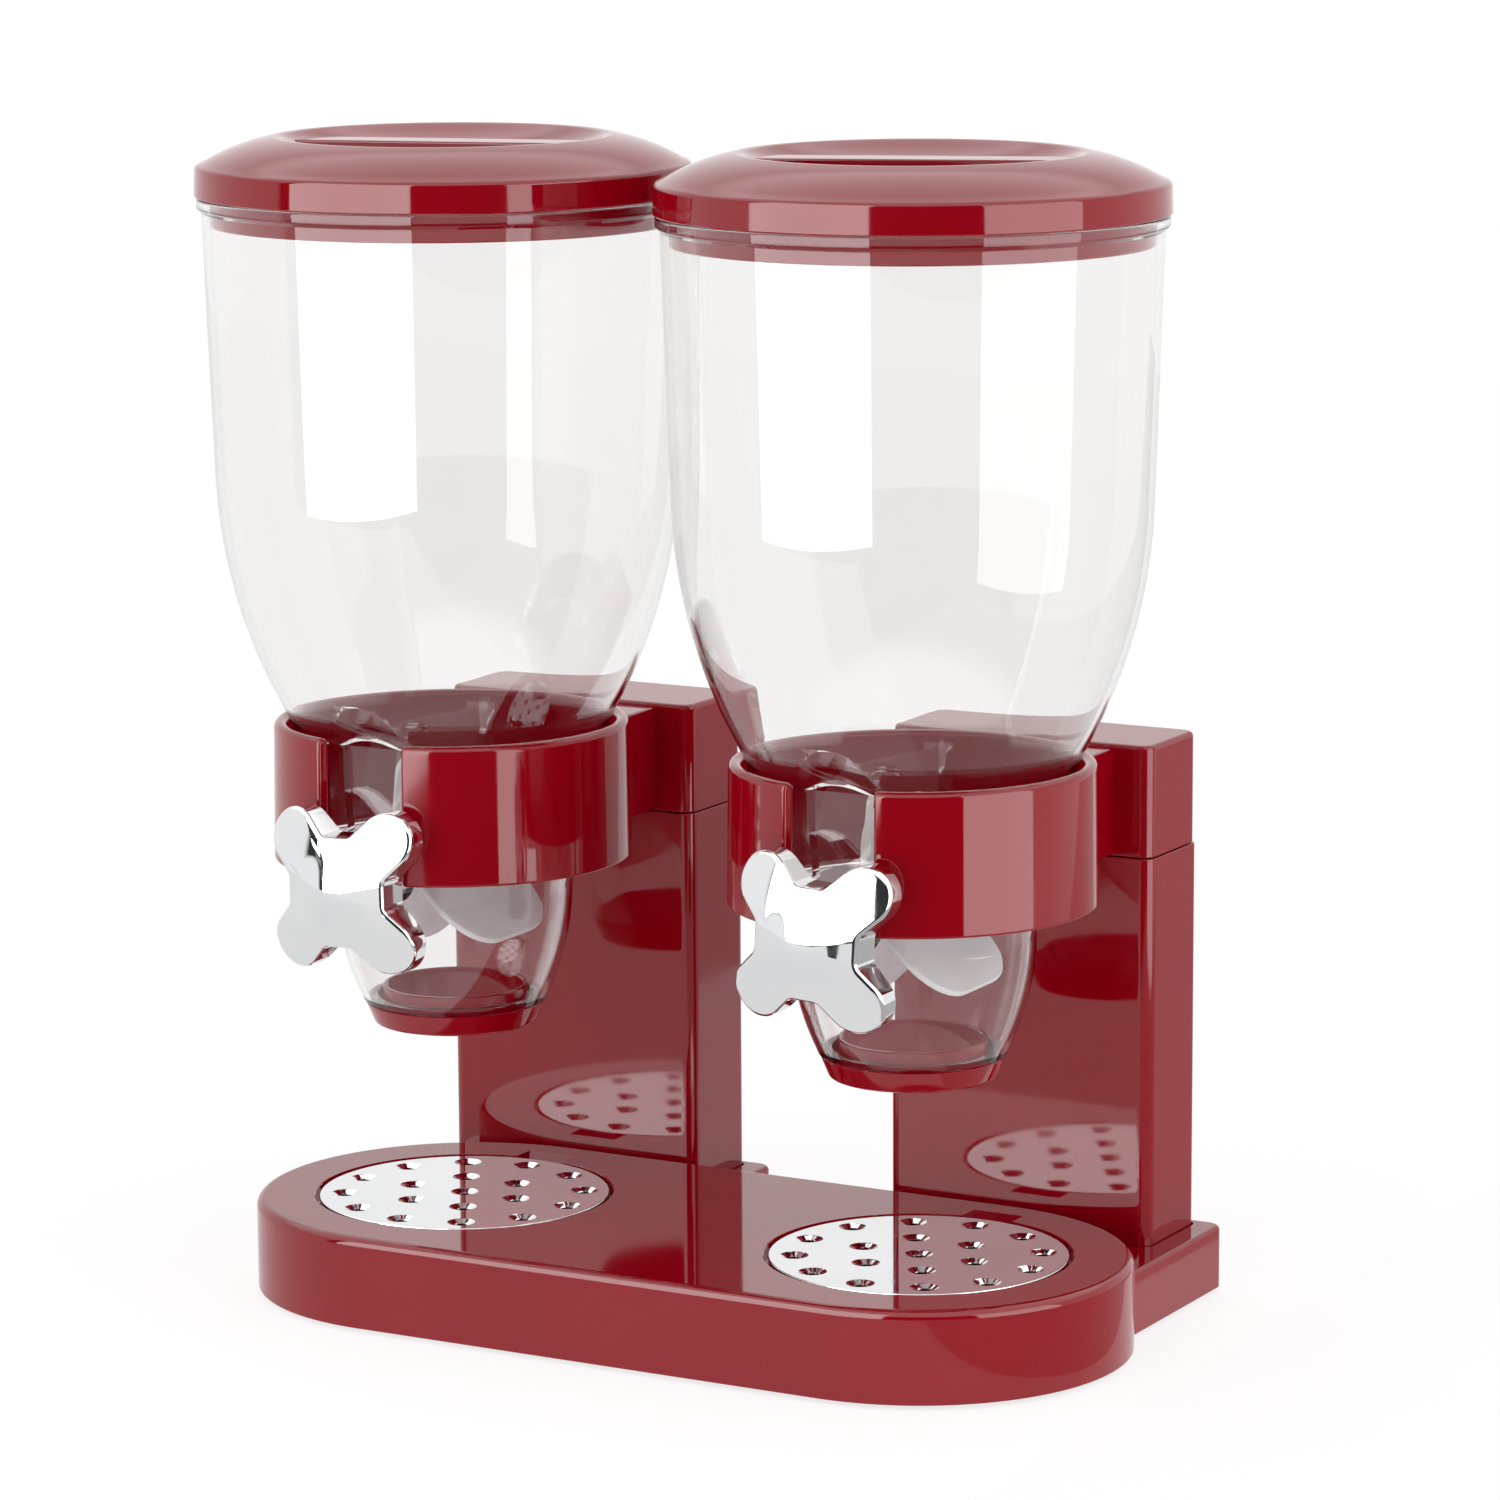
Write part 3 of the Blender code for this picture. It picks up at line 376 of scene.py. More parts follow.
def bright_steel():
    """Drawn bright steel bar and zinc-plated screws: fine turning marks, cool grey."""
    mat, tree, place = new_material("bright_steel")
    shade = ramp(tree, noise(tree, place, 3 * MM), [(0.3, "b4b6ba"), (0.7, "c2c4c8")])
    lines = bump(tree, noise(tree, place, 0.5 * MM, 3.0), 0.01 * MM, 0.4)
    shader = add(tree, "ShaderNodeBsdfPrincipled", {
        "Base Color": shade, "Metallic": 1.0,
        "Roughness": spread(tree, noise(tree, place, 2 * MM), 0.2, 0.32), "Normal": lines})
    close(tree, shader)
    return mat


RED = red_gloss_abs()
CLEAR = clear_san()
CHROME = chrome_plate()
SILICONE = white_silicone()
ACETAL = plain_plastic("natural_acetal", "dcdcd6", "e6e6e0", 0.28, 0.38, 0.8 * MM, 0.01 * MM, 1.48)
BLACK = plain_plastic("black_abs_spark_textured", "121212", "1a1a1a", 0.45, 0.6, 0.5 * MM,
                      0.05 * MM, 1.53)
RUBBER = plain_plastic("black_rubber", "0e0e0e", "171717", 0.7, 0.85, 0.4 * MM, 0.04 * MM, 1.52)
STEEL = bright_steel()


# ---- building helpers ---------------------------------------------------------------------
def arc(cx, cy, radius, start, end, steps):
    points = []
    for i in range(steps + 1):
        angle = math.radians(start + (end - start) * i / steps)
        points.append((cx + radius * math.cos(angle), cy + radius * math.sin(angle)))
    return points


def rounded_box(half_w, y0, y1, radius, steps=10):
    outline = arc(half_w - radius, y1 - radius, radius, 0, 90, steps)
    outline += arc(-half_w + radius, y1 - radius, radius, 90, 180, steps)
    outline += arc(-half_w + radius, y0 + radius, radius, 180, 270, steps)
    outline += arc(half_w - radius, y0 + radius, radius, 270, 360, steps)
    return outline


def finished(name, bm, finish=None, angle=30.0):
    """The bmesh as an object, smooth but for edges sharper than the angle in degrees."""
    bmesh.ops.recalc_face_normals(bm, faces=bm.faces)
    mesh = bpy.data.meshes.new(name)
    bm.to_mesh(mesh)
    bm.free()
    obj = bpy.data.objects.new(name, mesh)
    bpy.context.scene.collection.objects.link(obj)
    mesh.shade_smooth()
    mesh.set_sharp_from_angle(angle=math.radians(angle))
    if finish is not None:
        mesh.materials.append(finish)
    return obj


def prism(name, outline, start, end, finish=None, along="Z", x=0.0, edges=(), segments=4):
    """An outline extruded from start to end; edges lists (offset, at the end?) roundings."""
    spots = {"Z": lambda a, b, c: (a + x, b, c), "X": lambda a, b, c: (c + x, a, b),
             "Y": lambda a, b, c: (a + x, c, b)}
    spot = spots[along]
    bm = bmesh.new()
    face = bm.faces.new([bm.verts.new(spot(a, b, start)) for a, b in outline])
    step = Vector(spot(0.0, 0.0, end)) - Vector(spot(0.0, 0.0, start))
    made = bmesh.ops.extrude_face_region(bm, geom=[face])
    moved = [g for g in made["geom"] if isinstance(g, bmesh.types.BMVert)]
    bmesh.ops.translate(bm, vec=step, verts=moved)
    bmesh.ops.recalc_face_normals(bm, faces=bm.faces)
    axis = "XYZ".index(along)
    for offset, at_end in edges:
        level = spot(0.0, 0.0, end if at_end else start)[axis]
        ring = [e for e in bm.edges
                if all(abs(v.co[axis] - level) < 1e-7 for v in e.verts)]
        bmesh.ops.bevel(bm, geom=ring, offset=offset, segments=segments, profile=0.5,
                        affect='EDGES', material=-1)
    return finished(name, bm, finish)


def turned(name, outline, centre, finish=None, steps=ROUND, closed=False, angle=30.0):
    """An (r, z) outline spun about a vertical axis."""
    bm = bmesh.new()
    verts = [bm.verts.new((centre[0] + r, centre[1], z)) for r, z in outline]
    ends = list(zip(verts, verts[1:]))
    if closed:
        ends.append((verts[-1], verts[0]))
    edges = [bm.edges.new(pair) for pair in ends]
    bmesh.ops.spin(bm, geom=verts + edges, cent=(*centre, 0.0), axis=(0, 0, 1),
                   angle=2 * math.pi, steps=steps, use_merge=True)
    bmesh.ops.remove_doubles(bm, verts=bm.verts, dist=1e-6)
    return finished(name, bm, finish, angle)


def rod(name, radius, start, end, centre, along="Y", steps=FINE):
    """A plain round cutter or core along Y at (x, z), or along Z at (x, y)."""
    bm = bmesh.new()
    bmesh.ops.create_cone(bm, cap_ends=True, segments=steps, radius1=radius, radius2=radius,
                          depth=end - start)
    if along == "Y":
        turn = Matrix.Rotation(math.pi / 2, 4, 'X')
        spot = Vector((centre[0], (start + end) / 2, centre[1]))
    else:
        turn = Matrix.Identity(4)
        spot = Vector((centre[0], centre[1], (start + end) / 2))
    bmesh.ops.transform(bm, matrix=Matrix.Translation(spot) @ turn, verts=bm.verts)
    return finished(name, bm)


def combine(obj, others, operation, angle=30.0):
    """Boolean with each helper in turn, applied, and the helpers removed."""
    for other in others:
        modifier = obj.modifiers.new("cut", 'BOOLEAN')
        modifier.operation = operation
        modifier.solver = 'EXACT'
        modifier.object = other
        graph = bpy.context.evaluated_depsgraph_get()
        mesh = bpy.data.meshes.new_from_object(obj.evaluated_get(graph))
        obj.modifiers.clear()
        obj.data = mesh
        bpy.data.objects.remove(other)
    obj.data.shade_smooth()
    obj.data.set_sharp_from_angle(angle=math.radians(angle))
    return obj


def cut(obj, *others, angle=30.0):
    return combine(obj, others, 'DIFFERENCE', angle)


def join(obj, *others, angle=30.0):
    return combine(obj, others, 'UNION', angle)


def even_normals(piece):
    """Normals follow the large faces, so that small roundings don't bend their reflections."""
    modifier = piece.modifiers.new("normals", 'WEIGHTED_NORMAL')
    modifier.keep_sharp = True
    graph = bpy.context.evaluated_depsgraph_get()
    mesh = bpy.data.meshes.new_from_object(piece.evaluated_get(graph),
                                           preserve_all_data_layers=True, depsgraph=graph)
    piece.modifiers.clear()
    piece.data = mesh


def stands_for(piece, node, body):
    """The piece moves with the body, in place of the node, which is hidden."""
    even_normals(piece)
    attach(piece, body)
    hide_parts(node)


# ---- base ---------------------------------------------------------------------------------
def deck_outline(inset):
    radius = DECK_R - inset
    right = arc(AXIS_X["right"], GRILLE_Y, radius, -90, 90, ROUND // 2)
    return right + arc(AXIS_X["left"], GRILLE_Y, radius, 90, 270, ROUND // 2)


def column_outline(side, grow):
    lo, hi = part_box(f"column_{side}")
    return rounded_box((hi.x - lo.x) / 2 + grow, lo.y - grow, hi.y + grow,
                       COLUMN_CORNER_R + grow * 0.6)


def grille_seat(x):
    """Cutter for the grille's recess, its drip well and the lip round its mouth."""
    clear = 2 * DECK_Z
    outline = [(0.0, clear), (RECESS_R + RECESS_LIP, clear), (RECESS_R + RECESS_LIP, DECK_Z),
               (RECESS_R, DECK_Z - RECESS_LIP), (RECESS_R, DECK_Z - RECESS_DEPTH),
               (WELL_R, DECK_Z - RECESS_DEPTH), (WELL_R, WELL_Z + WELL_CORNER),
               (WELL_R - WELL_CORNER, WELL_Z), (0.0, WELL_Z)]
    return turned("recess", outline, (x, GRILLE_Y))


def finger_notch(x):
    top = DECK_Z + 2 * MM
    outline = [(GRILLE_Y + NOTCH_FRONT, top), (GRILLE_Y + NOTCH_FRONT, DECK_Z - NOTCH_DEPTH),
               (GRILLE_Y + NOTCH_FLOOR, DECK_Z - NOTCH_DEPTH), (GRILLE_Y + NOTCH_BACK, top)]
    return prism("notch", outline, -NOTCH_HALF_W, NOTCH_HALF_W, along="X", x=x)


def deck():
    back = high("base_deck").y
    body = prism("deck_moulding", deck_outline(0.0), BASE_Z0, DECK_Z, RED,
                 edges=[(DECK_EDGE_R, True), (FOOT_EDGE_R, False)], segments=6)
    block = rounded_box(BLOCK_HALF_W, 0.0, back, BLOCK_CORNER_R)
    join(body, *[prism("block", block, BASE_Z0, BLOCK_Z, RED, x=AXIS_X[side],
                       edges=[(BLOCK_EDGE_R, True), (FOOT_EDGE_R, False)]) for side in SIDES])
    cutters = []
    for side in SIDES:
        x = AXIS_X[side]
        cutters += [prism("socket", column_outline(side, SOCKET_GAP), SOCKET_Z, 2 * DECK_Z, x=x),
                    grille_seat(x), finger_notch(x)]
    low_z = low("base_plate").z - OVER
    roof = high("base_plate").z + ROOF_GAP
    cutters.append(prism("under", deck_outline(SKIN), low_z, roof))
    hollow = rounded_box(BLOCK_HALF_W - SKIN, BLOCK_HOLLOW_Y0, back - SKIN, BLOCK_HOLLOW_R)
    cutters += [prism("under", hollow, low_z, roof, x=AXIS_X[side]) for side in SIDES]
    cut(body, *cutters)
    stands_for(body, "base_deck", "base")


def hole_spots():
    """A hole in the middle, six half-way out and twelve on the outer ring."""
    spots = [(0.0, 0.0)]
    for count, radius in ((6, HOLE_RING_R / 2), (12, HOLE_RING_R)):
        for i in range(count):
            angle = 2 * math.pi * i / count
            spots.append((radius * math.cos(angle), radius * math.sin(angle)))
    return spots


def grille(side):
    x = AXIS_X[side]
    lo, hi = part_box(f"drip_grille_{side}")
    rim = GRILLE_R - GRILLE_EDGE_R
    outline = [(0.0, hi.z), (rim, hi.z)]
    outline += arc(rim, hi.z - GRILLE_EDGE_R, GRILLE_EDGE_R, 90, 0, 4)[1:]
    outline += [(GRILLE_R, lo.z), (0.0, lo.z)]
    body = turned(f"grille_plate_{side}", outline, (x, GRILLE_Y), CHROME)
    sink_z = hi.z - SINK_DEPTH
    bit = [(0.0, hi.z + OVER), (SINK_R + 0.5 * MM, hi.z + OVER), (SINK_R + 0.1 * MM, hi.z),
           (SINK_R - SINK_EDGE, hi.z - 0.3 * MM), (HOLE_R + SINK_EDGE, sink_z + 0.2 * MM),
           (HOLE_R, sink_z - 0.1 * MM), (HOLE_R, lo.z - OVER), (0.0, lo.z - OVER)]
    bits = [turned("bit", bit, (x + dx, GRILLE_Y + dy), steps=24) for dx, dy in hole_spots()]
    drill = join(bits[0], *bits[1:])
    cut(body, drill)
    stands_for(body, f"drip_grille_{side}", f"grille_{side}")


# ---- stand --------------------------------------------------------------------------------
def column(side):
    lo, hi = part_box(f"column_{side}")
    body = prism(f"column_moulding_{side}", column_outline(side, 0.0), lo.z, hi.z, RED,
                 x=AXIS_X[side], edges=[(COLUMN_EDGE_R, True)], segments=3)
    cut(body, prism("bore", column_outline(side, -SKIN), lo.z - 5 * OVER, hi.z - COLUMN_ROOF,
                    x=AXIS_X[side]))
    stands_for(body, f"column_{side}", "base")


def collar_section(lo_z, hi_z):
    lip = COLLAR_WALL / 2
    inner = COLLAR_R_TOP - COLLAR_WALL
    outline = arc(COLLAR_R_TOP - lip, hi_z - lip, lip, 90, 0, 8)
    outline += arc(COLLAR_R_LOW - COLLAR_EDGE_R, lo_z + COLLAR_EDGE_R, COLLAR_EDGE_R, 0, -90, 4)
    outline += arc(COLLAR_R_LOW - COLLAR_WALL + COLLAR_INNER_EDGE_R, lo_z + COLLAR_INNER_EDGE_R,
                   COLLAR_INNER_EDGE_R, 270, 180, 3)
    outline += arc(inner + lip, hi_z - lip, lip, 180, 100, 7)
    return outline


def open_collar(side, lo_z, hi_z):
    """The collar as an open band, its ends rounded over, with the gap towards the front."""
    x = AXIS_X[side]
    half_gap = math.asin(GAP_HALF_W / COLLAR_R_TOP)
    start = -math.pi / 2 + half_gap
    outline = collar_section(lo_z, hi_z)
    bm = bmesh.new()
    verts = [bm.verts.new((x + r, CANISTER_Y, z)) for r, z in outline]
    face = bm.faces.new(verts)
    centre = (x, CANISTER_Y, 0.0)
    bmesh.ops.rotate(bm, cent=centre, matrix=Matrix.Rotation(start, 3, 'Z'), verts=verts)
    bmesh.ops.spin(bm, geom=[face] + list(face.edges) + verts, cent=centre,
                   axis=(0, 0, 1), angle=2 * (math.pi - half_gap), steps=ROUND)
    caps = [f for f in bm.faces if len(f.verts) == len(outline)]
    bmesh.ops.recalc_face_normals(bm, faces=bm.faces)
    ring = {e for f in caps for e in f.edges}
    bmesh.ops.bevel(bm, geom=list(ring), offset=GAP_EDGE_R, segments=4, profile=0.5,
                    affect='EDGES', material=-1)
    return finished("band", bm, RED)


def neck_outline():
    """Section of the neck, square below and rounded in two flats above."""
    half, soft = NECK_HALF_W, NECK_EDGE
    flat = 0.35 * MM
    return [(-half, NECK_Z0), (half, NECK_Z0), (half, NECK_Z1 - soft),
            (half - flat, NECK_Z1 - flat), (half - soft, NECK_Z1),
            (-half + soft, NECK_Z1), (-half + flat, NECK_Z1 - flat), (-half, NECK_Z1 - soft)]


def bracket(side):
    x = AXIS_X[side]
    lo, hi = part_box(f"collar_bracket_{side}")
    column_lo, column_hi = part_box(f"column_{side}")
    head = rounded_box((column_hi.x - column_lo.x) / 2 - HEAD_INSET, column_lo.y + HEAD_INSET,
                       column_hi.y - HEAD_INSET, COLUMN_CORNER_R)
    body = prism(f"bracket_moulding_{side}", head, column_hi.z + SEAM, HEAD_TOP, RED, x=x,
                 edges=[(HEAD_EDGE_R, True), (COLUMN_EDGE_R, False)])
    bridge = prism("neck", neck_outline(), CANISTER_Y + NECK_REACH, column_lo.y + NECK_LAP, RED,
                   along="Y", x=x)
    cut(bridge, rod("bore", COLLAR_R_TOP - COLLAR_WALL + 0.4 * MM, lo.z - 5 * OVER,
                    hi.z + 5 * OVER, (x, CANISTER_Y), along="Z", steps=ROUND))
    join(body, bridge, open_collar(side, lo.z, hi.z))
    stands_for(body, f"collar_bracket_{side}", "base")


# ---- canister -----------------------------------------------------------------------------
def canister_side(inset):
    """Wall from under the flange down to the outlet: taper, bulge, neck, shoulder and bowl."""
    start = math.asin((BODY_R - TAPER_R) / (FLANGE_Z0 - TAPER_Z))
    side = [(BODY_R - inset, FLANGE_Z0 - FLANGE_EDGE_R)]
    steps = 24
    for i in range(steps + 1):
        drop = BULGE_DROP * i / steps
        angle = math.asin(math.sin(start) + drop / BULGE_R)
        radius = TAPER_R - BULGE_R * (math.cos(start) - math.cos(angle))
        side.append((radius - inset, TAPER_Z - drop))
    flare = ((1.9, 5.3), (0.9, 3.0), (0.25, 0.8), (0.0, -1.5))     # mm out of and above the neck
    side += [(NECK_R + out * MM - inset, NECK_TOP_Z + up * MM) for out, up in flare]
    neck_r = NECK_R - NECK_DRAFT
    shoulder_z = SHOULDER_Z + inset + SHOULDER_R
    side.append((neck_r - inset, shoulder_z))
    side += arc(neck_r - SHOULDER_R - inset, shoulder_z, SHOULDER_R, 0, -90, 5)[1:]
    side += arc(BOWL_R + 6.0 * MM - inset, SHOULDER_Z - BOWL_BLEND_R + inset, BOWL_BLEND_R,
                90, 170, 6)
    steps = 20
    for i in range(steps + 1):
        drop = (BOWL_Z - OUTLET_Z) * i / steps
        radius = BOWL_R - BOWL_ARC_R * (1 - math.cos(math.asin(drop / BOWL_ARC_R)))
        side.append((radius - inset, BOWL_Z - drop))
    return side


def canister_outline(foot, top):
    """The wall's closed section, from the rim down the outside and back up the inside."""
    rim = WALL / 2
    edge = FLANGE_EDGE_R
    outline = arc(RIM_R - rim, top - rim, rim, 90, 0, 6)
    outline += [(RIM_R, FLANGE_Z1 + 0.4 * MM), (RIM_R + 0.4 * MM, FLANGE_Z1)]
    outline += arc(FLANGE_R - edge, FLANGE_Z1 - edge, edge, 90, 0, 4)
    outline += arc(FLANGE_R - edge, FLANGE_Z0 + edge, edge, 0, -90, 4)
    outline += canister_side(0.0)
    outline += [(SPIGOT_R, OUTLET_Z - 0.3 * MM), (SPIGOT_R, foot), (SPIGOT_BORE_R, foot),
                (SPIGOT_BORE_R, OUTLET_Z),
                (SPIGOT_BORE_R + SPIGOT_CHAMFER, OUTLET_Z + 2 * SPIGOT_CHAMFER)]
    outline += canister_side(WALL)[-2::-1]
    return outline + arc(RIM_R - rim, top - rim, rim, 180, 100, 5)


def facet_line(offset):
    face = FACET_Y + offset
    return [(face, SHOULDER_Z - OVER), (face, NECK_TOP_Z),
            (face - FACET_SLOPE_Y, NECK_TOP_Z + FACET_RISE)]


def canister(side):
    x = AXIS_X[side]
    centre = (x, CANISTER_Y)
    axle = (x, AXLE_Z)
    lo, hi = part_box(f"canister_{side}")
    body = turned(f"canister_wall_{side}", canister_outline(lo.z, hi.z), centre, CLEAR,
                  closed=True)
    core = canister_side(WALL / 2)
    limit = turned("limit", [(0.0, core[0][1])] + core + [(0.0, core[-1][1])], centre)
    pane = facet_line(PANE_INSET) + facet_line(WALL)[::-1]
    window = prism("window", pane, -FACET_HALF_W, FACET_HALF_W, along="X", x=x)
    combine(window, [limit], 'INTERSECT')
    front = facet_line(0.0)
    out = front[-1][0] - 20 * OVER
    sliced = front + [(out, front[-1][1]), (out, front[0][1])]
    cut(body, prism("facet", sliced, -FACET_HALF_W, FACET_HALF_W, along="X", x=x))
    join(body, window,
         rod("boss", BOSS_R, BOSS_FRONT_Y, CANISTER_Y - BOSS_INNER, axle),
         rod("boss", BOSS_R, CANISTER_Y + BOSS_INNER, BOSS_REAR_Y, axle))
    shaft_end = high(f"wheel_shaft_{side}").y + OVER
    cut(body, rod("bore", BUSH_R, BOSS_FRONT_Y - 10 * OVER, CANISTER_Y - BOSS_INNER / 2, axle),
        rod("bore", SHAFT_R, CANISTER_Y + BOSS_INNER / 2, shaft_end, axle))
    stands_for(body, f"canister_{side}", f"hopper_{side}")


def outlet_ring(side):
    lo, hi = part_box(f"outlet_ring_{side}")
    soft = 0.4 * MM
    outline = [(RING_R - 0.2 * MM, RING_Z1), (RING_R, RING_Z1 - 0.3 * MM),
               (RING_LOW_R + 0.5 * MM, lo.z + 0.9 * MM), (RING_LOW_R, lo.z + 0.25 * MM),
               (RING_LOW_R - 0.6 * MM, lo.z), (SLEEVE_BORE_R + 0.5 * MM, lo.z),
               (SLEEVE_BORE_R, lo.z + 0.5 * MM), (SLEEVE_BORE_R - 0.2 * MM, hi.z - soft),
               (SLEEVE_BORE_R + 0.3 * MM, hi.z), (SLEEVE_R - 2 * soft, hi.z),
               (SLEEVE_R - soft, hi.z - soft), (SLEEVE_R, RING_SLOT_Z),
               (RING_SLOT_R, RING_SLOT_Z), (RING_SLOT_R, RING_Z1)]
    body = turned(f"ring_moulding_{side}", outline, (AXIS_X[side], CANISTER_Y), RED, closed=True)
    stands_for(body, f"outlet_ring_{side}", f"hopper_{side}")


def lid_top(rim_z):
    """Dished scoop, rounded crest and sloping top, from the middle out to the corner."""
    turn = math.radians(CREST_START - 90)
    inner = LID_RIM_R - CREST_R * math.sin(turn)
    inner_z = rim_z - CREST_R * (1 - math.cos(turn))
    steps = 20
    outline = [(inner * i / steps, SCOOP_Z + (inner_z - SCOOP_Z) * (i / steps) ** SCOOP_POWER)
               for i in range(steps)]
    outline += arc(LID_RIM_R, rim_z - CREST_R, CREST_R, CREST_START, CREST_END, 8)
    crest, crest_z = outline[-1]
    edge_r = LID_R - LID_DRAFT - LID_CORNER_R
    for i in range(1, steps):
        t = i / steps
        outline.append((crest + (edge_r - crest) * t,
                        crest_z + (LID_EDGE_Z - crest_z) * t + LID_SWELL * 4 * t * (1 - t)))
    return outline + arc(edge_r, LID_EDGE_Z - LID_CORNER_R, LID_CORNER_R, 72, 4, 7)


def lid(side):
    x = AXIS_X[side]
    lo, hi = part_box(f"lid_{side}")
    outline = lid_top(hi.z)
    outline += [(LID_R, SKIRT_Z + 0.3 * MM), (LID_R - 0.3 * MM, SKIRT_Z),
                (SKIRT_BORE_R, SKIRT_Z), (SKIRT_BORE_R, LID_SLOT_Z), (PLUG_R, LID_SLOT_Z),
                (PLUG_R - 0.1 * MM, lo.z + 0.5 * MM), (PLUG_R - 0.6 * MM, lo.z),
                (PLUG_BORE_R + 0.4 * MM, lo.z), (PLUG_BORE_R, lo.z + 0.4 * MM),
                (PLUG_BORE_R, LID_SLOT_Z)]
    outline += [(LID_RIM_R, hi.z - WALL), (44 * MM, SCOOP_Z + 3 * MM), (30 * MM, SCOOP_Z),
                (0.0, SCOOP_Z - WALL)]
    body = turned(f"lid_moulding_{side}", outline, (x, CANISTER_Y), RED)
    bar = prism("bar", rounded_box(BAR_HALF_L, -BAR_HALF_W, BAR_HALF_W, BAR_CORNER_R, 6),
                SCOOP_Z - BAR_ROOT, BAR_Z1, RED, edges=[(BAR_EDGE_R, True)])
    bar.data.transform(Matrix.Translation((x, CANISTER_Y, 0.0))
                       @ Matrix.Rotation(LID_TURN[side], 4, 'Z'))
    join(body, bar)
    stands_for(body, f"lid_{side}", f"cover_{side}")


# ---- wheel and knob -----------------------------------------------------------------------
def vane_outline():
    """One paddle, (width, reach) from the hub's middle, with round corners at the tip."""
    reach = VANE_R - VANE_CORNER_R
    wide = VANE_HALF_W - VANE_CORNER_R
    outline = [(-VANE_HALF_W, 0.0)]
    outline += [(b, a) for a, b in arc(reach, -wide, VANE_CORNER_R, -90, 0, 16)]
    outline += [(b, a) for a, b in arc(reach, wide, VANE_CORNER_R, 0, 90, 16)]
    outline.append((VANE_HALF_W, 0.0))
    return outline


def wheel(side):
    x = AXIS_X[side]
    body = rod(f"wheel_moulding_{side}", HUB_R, CANISTER_Y - HUB_HALF_L, CANISTER_Y + HUB_HALF_L,
               (x, AXLE_Z))
    body.data.materials.append(SILICONE)
    vanes = []
    for i in range(VANES):
        vane = prism("vane", vane_outline(), -VANE_T / 2, VANE_T / 2, SILICONE, along="X",
                     edges=[(VANE_EDGE_R, True), (VANE_EDGE_R, False)], segments=3)
        angle = VANE_PHASE + 2 * math.pi * i / VANES
        vane.data.transform(Matrix.Translation((x, CANISTER_Y, AXLE_Z))
                            @ Matrix.Rotation(angle, 4, 'Y'))
        vanes.append(vane)
    join(body, *vanes)
    cut(body, rod("bore", SHAFT_R, CANISTER_Y - HUB_HALF_L - 10 * OVER,
                  CANISTER_Y + HUB_HALF_L + 10 * OVER, (x, AXLE_Z)))
    stands_for(body, f"metering_wheel_{side}", f"wheel_{side}")


def knob_outline(grow=0.0, steps=28):
    """Lobed outline (x, z) about the axle: lobe, fillet, flat, fillet, four times over."""
    lobe = LOBE_REACH * math.sqrt(0.5)
    rise = WAIST_R + WAIST_FILLET_R
    away = math.atan2(lobe - rise, lobe - WAIST_HALF_W)
    apart = math.hypot(lobe - WAIST_HALF_W, lobe - rise)
    slope = math.degrees(away + math.asin((LOBE_R + WAIST_FILLET_R) / apart))
    fillet = WAIST_FILLET_R - grow
    quarter = arc(lobe, lobe, LOBE_R + grow, -slope, 90 + slope, 2 * steps)
    quarter += arc(WAIST_HALF_W, rise, fillet, slope - 90, -90, steps // 2)
    quarter += arc(-WAIST_HALF_W, rise, fillet, -90, -90 - slope, steps // 2)
    points = []
    for i in range(KNOB_LOBES):
        turn = 2 * math.pi * i / KNOB_LOBES
        c, s = math.cos(turn), math.sin(turn)
        points += [(a * c - b * s, a * s + b * c) for a, b in quarter]
    return points


def knob_front(radius):
    """Depth (y) of the convex front, with its shallow dome, at a distance from the axle."""
    crown = KNOB_CROWN_R - math.sqrt(KNOB_CROWN_R ** 2 - radius ** 2)
    dome = DOME_RISE * max(0.0, 1.0 - (radius / DOME_R) ** 2) ** 2
    return KNOB_Y0 + crown - dome


